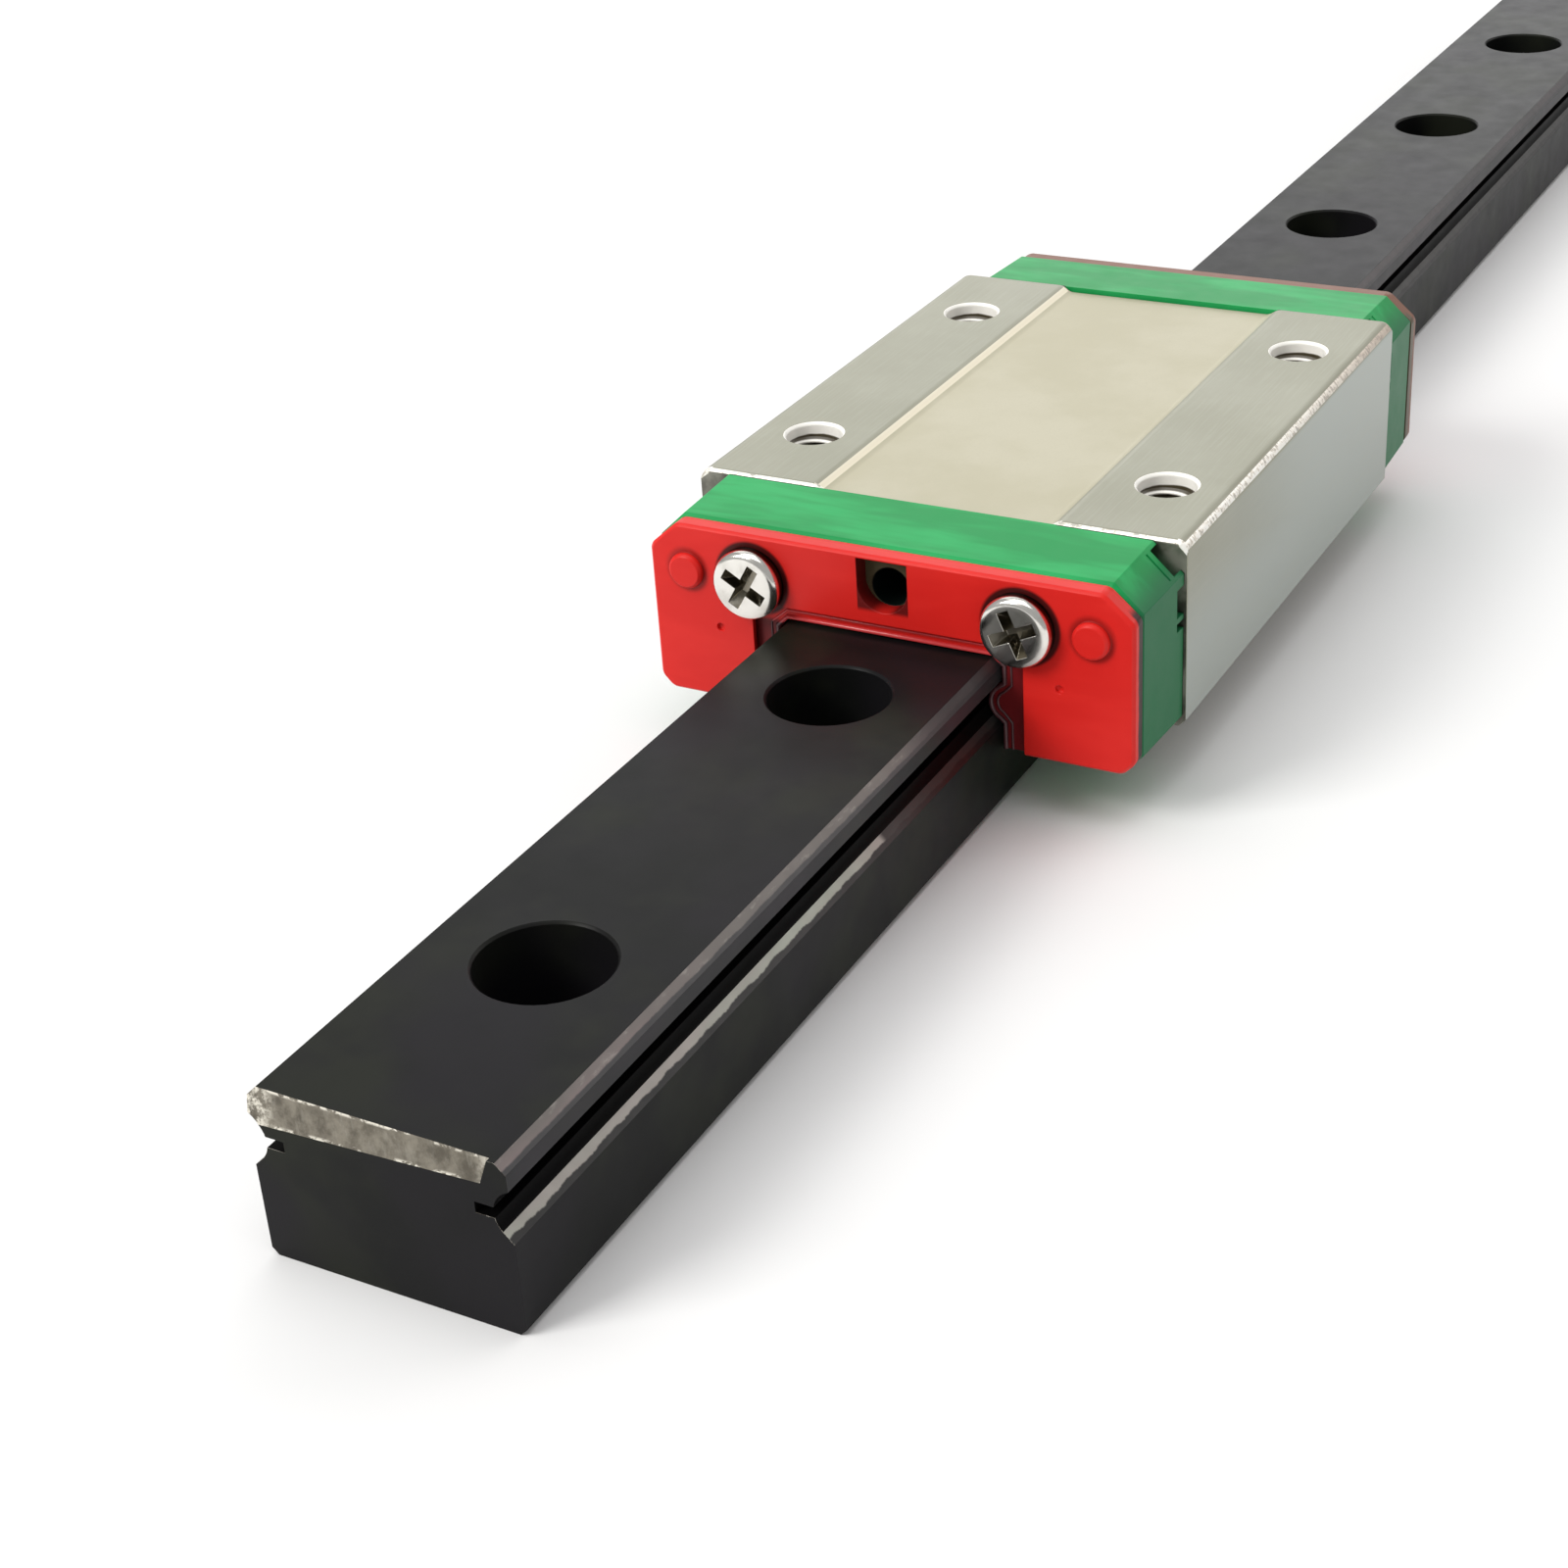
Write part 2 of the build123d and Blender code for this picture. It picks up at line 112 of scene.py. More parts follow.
class Graph:
    """A small builder for one material's nodes."""

    def __init__(self, name: str) -> None:
        """Start an empty material.

        Args:
            name: The material's name.
        """
        self.material = bpy.data.materials.new(name)
        self.material.use_nodes = True
        self.nodes = self.material.node_tree.nodes
        self.links = self.material.node_tree.links
        self.shader = self.nodes["Principled BSDF"]
        self.place = self.nodes.new("ShaderNodeTexCoord").outputs["Object"]

    def feed(self, socket: Socket, value: object) -> None:
        """Link a socket into another, or set its value.

        Args:
            socket: The input to fill.
            value: An output socket, a number, or a tuple.
        """
        if isinstance(value, Socket):
            self.links.new(value, socket)
        elif isinstance(value, tuple) and len(value) == 3 and socket.type == "RGBA":
            socket.default_value = (*value, 1.0)
        else:
            socket.default_value = value

    def node(self, kind: str, settings: dict | None = None, **inputs: object) -> bpy.types.Node:
        """Add a node.

        Args:
            kind: The node's type name without its ShaderNode prefix.
            settings: Properties of the node itself.
            **inputs: Values by socket name, with underscores for spaces.

        Returns:
            The new node.
        """
        made = self.nodes.new("ShaderNode" + kind)
        for key, value in (settings or {}).items():
            setattr(made, key, value)
        for key, value in inputs.items():
            self.feed(made.inputs[key.replace("_", " ")], value)
        return made

    def stretched(self, scale: Point, turn: float) -> Socket:
        """Object coordinates with each axis scaled on its own.

        Args:
            scale: Cells per metre along X, Y and Z.
            turn: A turn about X in degrees, made before scaling.

        Returns:
            The coordinate socket.
        """
        place = self.place
        if turn:
            turned = self.node("Mapping", Vector=place, Rotation=(math.radians(turn), 0, 0))
            place = turned.outputs["Vector"]
        scaled = self.node("VectorMath", {"operation": "MULTIPLY"})
        self.feed(scaled.inputs[0], place)
        self.feed(scaled.inputs[1], scale)
        return scaled.outputs["Vector"]

    def noise(
        self,
        cells_per_mm: float | Point,
        detail: float = 4.0,
        roughness: float = 0.55,
        turn: float = 0.0,
        distortion: float = 0.0,
    ) -> Socket:
        """Fractal noise on the object's coordinates.

        Args:
            cells_per_mm: The scale, alike on all axes or one for each.
            detail: Octaves.
            roughness: Weight of the finer octaves.
            turn: A turn about X in degrees.
            distortion: How far the pattern is warped.

        Returns:
            The noise, from 0 to 1.
        """
        if not isinstance(cells_per_mm, tuple):
            cells_per_mm = (cells_per_mm,) * 3
        made = self.node(
            "TexNoise",
            Vector=self.stretched(tuple(value / MM for value in cells_per_mm), turn),
            Scale=1.0,
            Detail=detail,
            Roughness=roughness,
            Distortion=distortion,
        )
        return made.outputs["Fac"]

    def fade(self, value: object, start: float, end: float) -> Socket:
        """A smooth step of a value.

        Args:
            value: The socket to read.
            start: Where the result is 0.
            end: Where the result is 1.

        Returns:
            The step, from 0 to 1.
        """
        rising = start < end
        made = self.node(
            "MapRange",
            {"interpolation_type": "SMOOTHSTEP"},
            Value=value,
            From_Min=min(start, end),
            From_Max=max(start, end),
            To_Min=0.0 if rising else 1.0,
            To_Max=1.0 if rising else 0.0,
        )
        return made.outputs["Result"]

    def between(self, value: object, low: float, high: float) -> Socket:
        """Map a value from 0..1 to a range.

        Args:
            value: The socket to read.
            low: The result for 0.
            high: The result for 1.

        Returns:
            The mapped value.
        """
        return self.node("MapRange", Value=value, To_Min=low, To_Max=high).outputs["Result"]

    def math(self, operation: str, first: object, second: object = 0.0) -> Socket:
        """One arithmetic step.

        Args:
            operation: The Math node's operation.
            first: The first value.
            second: The second value.

        Returns:
            The result.
        """
        made = self.node("Math", {"operation": operation})
        self.feed(made.inputs[0], first)
        self.feed(made.inputs[1], second)
        return made.outputs[0]

    def times(self, first: object, *others: object) -> Socket:
        """The product of masks and shares.

        Args:
            first: A mask.
            *others: More masks, or plain shares.

        Returns:
            The product.
        """
        for other in others:
            first = self.math("MULTIPLY", first, other)
        return first

    def most(self, first: object, *others: object) -> Socket:
        """The greatest of several values.

        Args:
            first: A value.
            *others: More values.

        Returns:
            The greatest.
        """
        for other in others:
            first = self.math("MAXIMUM", first, other)
        return first

    def mix(self, factor: object, first: object, second: object) -> Socket:
        """Blend two colours.

        Args:
            factor: 0 for the first and 1 for the second.
            first: A colour.
            second: A colour.

        Returns:
            The blended colour.
        """
        made = self.node("Mix", {"data_type": "RGBA"})
        self.feed(made.inputs[0], factor)
        self.feed(made.inputs[6], first)
        self.feed(made.inputs[7], second)
        return made.outputs[2]

    def axis(self, name: str) -> Socket:
        """One object coordinate, X, Y or Z, in metres."""
        return self.node("SeparateXYZ", Vector=self.place).outputs[name]

    def side(self) -> Socket:
        """The distance from the middle plane."""
        return self.math("ABSOLUTE", self.axis("Y"))

    def reach(self) -> Socket:
        """The distance along X from the carriage's middle."""
        return self.math("ABSOLUTE", self.math("SUBTRACT", self.axis("X"), CARRIAGE_MIDDLE_X))

    def length(self, first: object, second: object) -> Socket:
        """The length of a slanting line.

        Args:
            first: Its extent one way.
            second: Its extent at a right angle to that.

        Returns:
            The length.
        """
        square = self.math("ADD", self.times(first, first), self.times(second, second))
        return self.math("SQRT", square)

    def from_axis(self, y: float, z: float) -> Socket:
        """The distance from an axis along X, alike on the left and the right.

        Args:
            y: The axis's distance from the middle plane.
            z: The axis's height.

        Returns:
            The distance.
        """
        rise = self.math("SUBTRACT", self.axis("Z"), z)
        return self.length(self.math("SUBTRACT", self.side(), y), rise)

    def bump(self, height: object, strength: float, depth: float) -> None:
        """Roughen the surface.

        Args:
            height: The height, from 0 to 1.
            strength: How much of it shows.
            depth: The real depth in metres.
        """
        made = self.node("Bump", Height=height, Strength=strength, Distance=depth)
        previous = self.shader.inputs["Normal"]
        if previous.is_linked:
            self.links.new(previous.links[0].from_socket, made.inputs["Normal"])
        self.links.new(made.outputs["Normal"], previous)

    def set(self, **inputs: object) -> None:
        """Fill the shader's own sockets, named with underscores for spaces."""
        for key, value in inputs.items():
            self.feed(self.shader.inputs[key.replace("_", " ")], value)


@dataclass(frozen=True)
class Finish:
    """What every finish shares."""

    name: str

    def build(self) -> Material:
        """Make the material.

        Returns:
            The material.
        """
        graph = Graph(self.name)
        self.fill(graph)
        return graph.material

    def fill(self, graph: Graph) -> None:
        """Lay out the nodes.

        Args:
            graph: The material's builder.
        """
        raise NotImplementedError


@dataclass(frozen=True)
class BlackenedSteel(Finish):
    """The rail's blackened finish, nearly even, with faint cloudy tints."""

    name: str = "blackened_steel"
    dark: Colour = (0.0048, 0.0052, 0.0050)
    olive: Colour = (0.0110, 0.0125, 0.0080)
    violet: Colour = (0.0080, 0.0072, 0.0092)
    dust: Colour = (0.022, 0.022, 0.021)
    gleam: float = 0.10

    def fill(self, graph: Graph) -> None:
        """Lay out the nodes.

        Args:
            graph: The material's builder.
        """
        cloud = graph.fade(graph.noise(0.16, 3.0), 0.42, 0.62)
        tint = graph.fade(graph.noise(0.11, 2.0, turn=40.0), 0.45, 0.65)
        colour = graph.mix(cloud, self.dark, self.olive)
        colour = graph.mix(tint, colour, self.violet)
        fine = graph.noise(9.0, 3.0, 0.6)
        graph.set(
            Base_Color=graph.mix(graph.times(fine, 0.18), colour, self.dust),
            Metallic=0.0,
            Specular_IOR_Level=self.gleam,
            Roughness=graph.between(graph.noise(0.5, 4.0), 0.30, 0.46),
        )
        graph.bump(graph.noise((2.0, 14.0, 14.0), 3.0), 0.22, 0.004 * MM)


@dataclass(frozen=True)
class RubbedEdgeHighlight(Finish):
    """Edges of the rail where the blackening is rubbed down to a dull pinkish grey, the pale strip being
    partly this bare edge and partly a painted highlight.

    The rubbed strip has a wavering lower edge, and it is faint along the middle of the rail, where painted
    shade stands for the carriage's shadow and dark reflection.
    """

    name: str = "rubbed_edge"
    warm: Colour = (0.225, 0.172, 0.172)
    cool: Colour = (0.150, 0.138, 0.128)
    below: Colour = (0.034, 0.033, 0.035)
    fleck: Colour = (0.38, 0.36, 0.33)
    low_z: float = 7.70 * MM
    soft: float = 0.03 * MM
    waver: float = 0.08 * MM
    faint_x: float = 63.0 * MM
    clear_x: float = 69.0 * MM
    least: float = 0.14

    def fill(self, graph: Graph) -> None:
        """Lay out the nodes.

        Args:
            graph: The material's builder.
        """
        drift = graph.fade(graph.noise((0.06, 0.3, 0.3), 2.0), 0.4, 0.6)
        speck = graph.fade(graph.noise((0.9, 3.0, 3.0), 5.0, 0.7), 0.52, 0.72)
        colour = graph.mix(drift, self.warm, self.cool)
        colour = graph.mix(graph.times(speck, 0.4), colour, self.fleck)
        rubbed = self.strip(graph)
        graph.set(
            Base_Color=graph.mix(rubbed, self.below, colour),
            Metallic=graph.between(rubbed, 0.0, 0.45),
            Roughness=graph.between(graph.noise(1.2, 4.0), 0.36, 0.54),
        )
        graph.bump(graph.noise((1.0, 9.0, 9.0), 3.0), 0.3, 0.006 * MM)

    def strip(self, graph: Graph) -> Socket:
        """Where the blackening is rubbed off and a highlight is painted, faint under the painted shade along
        the middle of the rail.

        Args:
            graph: The material's builder.

        Returns:
            The mask.
        """
        ragged = graph.between(graph.noise((0.55, 0.2, 0.2), 5.0, 0.7), -self.waver, self.waver)
        height = graph.math("ADD", graph.axis("Z"), ragged)
        upper = graph.fade(height, self.low_z - self.soft, self.low_z + self.soft)
        # Painted shade: the strip fades along the middle of the rail, for the carriage's shadow and dark
        # reflection on it.
        along = graph.math("ABSOLUTE", graph.axis("X"))
        ends = graph.between(graph.fade(along, self.faint_x, self.clear_x), self.least, 1.0)
        return graph.times(upper, ends)


@dataclass(frozen=True)
class FiledSteel(Finish):
    """Bare steel of the filed rail ends: a stained grey with torn bright burrs along both edges."""

    name: str = "filed_steel"
    top_z: float = 8.0 * MM
    low_left_z: float = 6.4 * MM
    low_right_z: float = 6.85 * MM
    half_width: float = 5.55 * MM
    grey: Colour = (0.235, 0.212, 0.168)
    stain: Colour = (0.105, 0.092, 0.070)
    stroke: Colour = (0.34, 0.32, 0.27)
    burr: Colour = (0.80, 0.76, 0.66)

    def fill(self, graph: Graph) -> None:
        """Lay out the nodes.

        Args:
            graph: The material's builder.
        """
        cloud = graph.fade(graph.noise(0.75, 5.0, 0.7), 0.36, 0.66)
        strokes = graph.fade(graph.noise((5.0, 3.2, 0.5), 4.0, 0.7, turn=14.0), 0.5, 0.7)
        colour = graph.mix(cloud, self.grey, self.stain)
        colour = graph.mix(graph.times(strokes, 0.32), colour, self.stroke)
        graph.set(
            Base_Color=graph.mix(self.flecks(graph), colour, self.burr),
            Metallic=0.55,
            Roughness=graph.between(cloud, 0.34, 0.5),
        )
        graph.bump(strokes, 0.5, 0.012 * MM)
        graph.bump(graph.noise(2.2, 4.0), 0.5, 0.03 * MM)

    def flecks(self, graph: Graph) -> Socket:
        """Where the burrs are, along the edges and thickest at the two ends.

        Args:
            graph: The material's builder.

        Returns:
            The mask.
        """
        height = graph.axis("Z")
        middle = (self.low_left_z + self.low_right_z) / 2
        slope = (self.low_left_z - self.low_right_z) / (2 * self.half_width)
        turned = graph.times(graph.axis("Y"), graph.math("SIGN", graph.axis("X")))
        low_edge = graph.math("ADD", graph.times(turned, -slope), middle)
        above = graph.math("SUBTRACT", height, low_edge)
        top = graph.times(
            graph.fade(height, self.top_z - 0.16 * MM, self.top_z - 0.05 * MM),
            graph.fade(graph.noise((1.5, 1.1, 1.5), 4.0, 0.75), 0.46, 0.56),
        )
        low = graph.times(
            graph.fade(above, 0.2 * MM, 0.06 * MM),
            graph.fade(graph.noise((1.5, 0.8, 1.5), 4.0, 0.75, turn=30.0), 0.5, 0.58),
        )
        corner = graph.times(
            graph.fade(graph.side(), 0.8 * self.half_width, self.half_width),
            graph.fade(graph.noise(2.4, 5.0, 0.75), 0.42, 0.6),
        )
        return graph.most(top, low, corner)


@dataclass(frozen=True)
class GroundSteel(Finish):
    """Satin ground steel, with a warmer unground band along the middle of the carriage top."""

    name: str = "ground_steel_satin"
    band_half: float = 6.5 * MM
    band_top: float = 12.9 * MM
    riser_half: float = 6.64 * MM
    top_z: float = 13.0 * MM
    side_y: float = 13.5 * MM
    pad: Colour = (0.298, 0.296, 0.226)
    pad_cloud: Colour = (0.330, 0.328, 0.258)
    pad_streak: Colour = (0.43, 0.43, 0.36)
    flank: Colour = (0.400, 0.432, 0.400)
    band: Colour = (0.50, 0.47, 0.345)
    band_cloud: Colour = (0.545, 0.515, 0.395)
    band_grain: Colour = (0.44, 0.415, 0.32)
    riser_highlight: Colour = (0.86, 0.80, 0.64)

    def fill(self, graph: Graph) -> None:
        """Lay out the nodes.

        Args:
            graph: The material's builder.
        """
        side, left, height = graph.side(), graph.axis("Y"), graph.axis("Z")
        on_band = graph.times(
            graph.fade(side, self.band_half + 0.04 * MM, self.band_half),
            graph.fade(height, self.band_top, self.band_top - 0.03 * MM),
            graph.fade(height, self.band_top - 1.0 * MM, self.band_top - 0.9 * MM),
        )
        # Painted highlight: only the left riser of the band is painted a light cream, as if lit.
        lit_riser = graph.times(
            graph.fade(left, self.riser_half + 0.03 * MM, self.riser_half),
            graph.fade(left, self.band_half - 0.2 * MM, self.band_half - 0.15 * MM),
            graph.fade(height, self.top_z, self.top_z - 0.03 * MM),
            graph.fade(height, self.top_z - 0.5 * MM, self.top_z - 0.4 * MM),
        )
        cloud = graph.fade(graph.noise(0.14, 4.0, 0.6), 0.35, 0.68)
        streak = graph.noise((0.25, 9.0, 9.0), 4.0, 0.6)
        grain = graph.noise(6.0, 4.0, 0.65)
        pad = graph.mix(cloud, self.pad, self.pad_cloud)
        pad = graph.mix(graph.fade(side, self.side_y - 0.06 * MM, self.side_y - 0.02 * MM), pad, self.flank)
        pad = graph.mix(graph.times(graph.fade(streak, 0.45, 0.7), 0.22), pad, self.pad_streak)
        band = graph.mix(cloud, self.band, self.band_cloud)
        band = graph.mix(graph.times(graph.fade(grain, 0.5, 0.7), 0.2), band, self.band_grain)
        graph.set(
            Base_Color=graph.mix(lit_riser, graph.mix(on_band, pad, band), self.riser_highlight),
            Metallic=0.62,
            Roughness=graph.between(on_band, 0.40, 0.52),
        )
        graph.bump(streak, 0.2, 0.004 * MM)
        graph.bump(grain, 0.22, 0.005 * MM)


@dataclass(frozen=True)
class WornEdge(Finish):
    """The carriage's top edges, hatched by the grinding wheel into a ragged pale gold line that is paler and
    brighter towards the front end, a painted highlight.
    """

    name: str = "worn_edge"
    bright_x: float = -42.1 * MM
    dull_x: float = -12.7 * MM
    steel: Colour = (0.50, 0.48, 0.43)
    gold: Colour = (0.66, 0.55, 0.39)
    pale: Colour = (1.0, 0.98, 0.92)
    rosy: Colour = (0.34, 0.25, 0.205)

    def fill(self, graph: Graph) -> None:
        """Lay out the nodes.

        Args:
            graph: The material's builder.
        """
        hatch = graph.noise((4.2, 1.6, 1.6), 4.0, 0.7, turn=20.0)
        chips = graph.noise((1.7, 3.0, 3.0), 5.0, 0.75)
        ragged = graph.math("ADD", graph.times(hatch, 0.6), graph.times(chips, 0.4))
        # Painted highlight: the line is paler and brighter towards the front end, rosier and darker towards
        # the rear.
        shine = graph.fade(graph.axis("X"), self.dull_x, self.bright_x)
        colour = graph.mix(graph.fade(ragged, 0.42, 0.5), self.steel, self.gold)
        colour = graph.mix(graph.between(shine, 0.75, 0.0), colour, self.rosy)
        bright = graph.times(graph.fade(ragged, 0.435, 0.51), graph.between(shine, 0.06, 1.0))
        colour = graph.mix(bright, colour, self.pale)
        graph.set(Base_Color=colour, Metallic=0.30, Roughness=graph.between(chips, 0.28, 0.5))
        graph.bump(ragged, 0.9, 0.06 * MM)


@dataclass(frozen=True)
class ShadedEndSteel(Finish):
    """The block's end faces, which the caps cover, painted dark as shade for the pockets beside the caps."""

    name: str = "oiled_steel"
    painted_shade: Colour = (0.13, 0.125, 0.105)
    steel: Colour = (0.30, 0.29, 0.25)

    def fill(self, graph: Graph) -> None:
        """Lay out the nodes.

        Args:
            graph: The material's builder.
        """
        # Painted shade: patchy dark end faces stand in for the shade in the pockets between the caps and the
        # steel.
        shade_patches = graph.fade(graph.noise(0.6, 4.0), 0.4, 0.65)
        graph.set(
            Base_Color=graph.mix(shade_patches, self.painted_shade, self.steel),
            Metallic=0.7,
            Roughness=graph.between(shade_patches, 0.3, 0.5),
        )
        graph.bump(graph.noise(4.0, 3.0), 0.3, 0.01 * MM)


@dataclass(frozen=True)
class TappedSteel(Finish):
    """Freshly cut steel of the tapped holes: near-white at the mouth, partly as a painted highlight, with
    painted shade in the thread's valleys and below them.
    """

    name: str = "tapped_steel"
    top_z: float = 13.0 * MM
    from_middle: float = 10.0 * MM
    mouth_depth: float = 0.66 * MM
    crest_radius: float = 1.24 * MM
    dark_depth: float = 1.16 * MM
    bright: Colour = (1.0, 0.98, 0.92)
    painted_shade: Colour = (0.060, 0.046, 0.022)

    def fill(self, graph: Graph) -> None:
        """Lay out the nodes.

        Args:
            graph: The material's builder.
        """
        along = graph.math("SUBTRACT", graph.reach(), self.from_middle)
        across = graph.math("SUBTRACT", graph.side(), self.from_middle)
        radius = graph.length(along, across)
        wavering = graph.between(graph.noise(0.9, 2.0), -0.06 * MM, 0.06 * MM)
        depth = graph.math("ADD", graph.math("SUBTRACT", self.top_z, graph.axis("Z")), wavering)
        # Painted shade: dark in the thread's valleys and further down the hole.
        valley_shade = graph.times(
            graph.fade(depth, self.mouth_depth - 0.04 * MM, self.mouth_depth + 0.04 * MM),
            graph.fade(radius, self.crest_radius + 0.06 * MM, self.crest_radius + 0.15 * MM),
        )
        depth_shade = graph.fade(depth, self.dark_depth, self.dark_depth + 0.3 * MM)
        graph.set(
            Base_Color=graph.mix(graph.most(valley_shade, graph.times(depth_shade, 0.9)), self.bright, self.painted_shade),
            Specular_IOR_Level=0.9,
            Roughness=graph.between(graph.noise(3.0, 3.0), 0.26, 0.40),
        )
        graph.bump(graph.noise((1.0, 1.0, 4.0), 2.0), 0.12, 0.008 * MM)


@dataclass(frozen=True)
class MouldedPlastic(Finish):
    """What the moulded plastics share: slight flow clouds and a fine skin."""

    colour: Colour
    light: Colour
    gloss: float
    shine: float

    def base(self, graph: Graph) -> Socket:
        """The plain colour with its clouds.

        Args:
            graph: The material's builder.

        Returns:
            The colour socket.
        """
        cloud = graph.fade(graph.noise((0.5, 0.09, 0.35), 3.0, 0.6, distortion=0.3), 0.4, 0.66)
        return graph.mix(graph.times(cloud, 0.6), self.colour, self.light)

    def dress(self, graph: Graph, colour: Socket) -> None:
        """Fill the shader.

        Args:
            graph: The material's builder.
            colour: The colour socket.
        """
        graph.set(
            Base_Color=colour,
            Specular_IOR_Level=self.shine,
            Roughness=graph.between(graph.noise(0.8, 4.0), self.gloss - 0.05, self.gloss + 0.09),
        )
        graph.bump(graph.noise(1.3, 3.0), 0.25, 0.012 * MM)
        graph.bump(graph.noise(11.0, 3.0), 0.12, 0.004 * MM)


@dataclass(frozen=True)
class CapPlastic(MouldedPlastic):
    """The caps' plastic, with a brown patch round the lubrication port that is partly an oily stain and
    partly painted shade and red bounce light, a port bore painted black as shade, sides painted darker as
    shade, and dark along the steel.
    """

    name: str = "green_moulding"
    colour: Colour = (0.010, 0.285, 0.072)
    light: Colour = (0.028, 0.47, 0.138)
    gloss: float = 0.38
    shine: float = 0.14
    steel_reach: float = 16.2 * MM
    outer_reach: float = 21.2 * MM
    band_half: float = 6.6 * MM
    side_y: float = 13.3 * MM
    port_z: float = 10.6 * MM
    port_radius: float = 1.0 * MM
    stain_radius: float = 2.2 * MM
    dull: Colour = (0.016, 0.150, 0.058)
    stain: Colour = (0.105, 0.085, 0.045)
    black: Colour = (0.003, 0.006, 0.005)
    shaded: Colour = (0.008, 0.05, 0.018)

    def fill(self, graph: Graph) -> None:
        """Lay out the nodes.

        Args:
            graph: The material's builder.
        """
        reach, side = graph.reach(), graph.side()
        from_port = graph.from_axis(0.0, self.port_z)
        # Painted shade and red bounce light, partly an oily stain: a brown patch round the port on the outer
        # face.
        smeared = graph.times(
            graph.fade(from_port, self.stain_radius + 0.1 * MM, self.stain_radius),
            graph.fade(reach, self.outer_reach - 0.06 * MM, self.outer_reach - 0.02 * MM),
        )
        # Painted shade: the port bore is painted near-black.
        port_shade = graph.fade(from_port, self.port_radius + 0.08 * MM, self.port_radius)
        # Painted shade: the sides of the cap are painted a darker green.
        at_side = graph.fade(side, self.side_y - 1.6 * MM, self.side_y - 0.1 * MM)
        by_steel = graph.times(
            graph.fade(reach, self.steel_reach + 0.16 * MM, self.steel_reach + 0.08 * MM),
            graph.fade(side, self.band_half, self.band_half + 0.1 * MM),
        )
        colour = graph.mix(smeared, self.base(graph), self.stain)
        colour = graph.mix(port_shade, colour, self.black)
        colour = graph.mix(at_side, colour, self.dull)
        self.dress(graph, graph.mix(by_steel, colour, self.shaded))


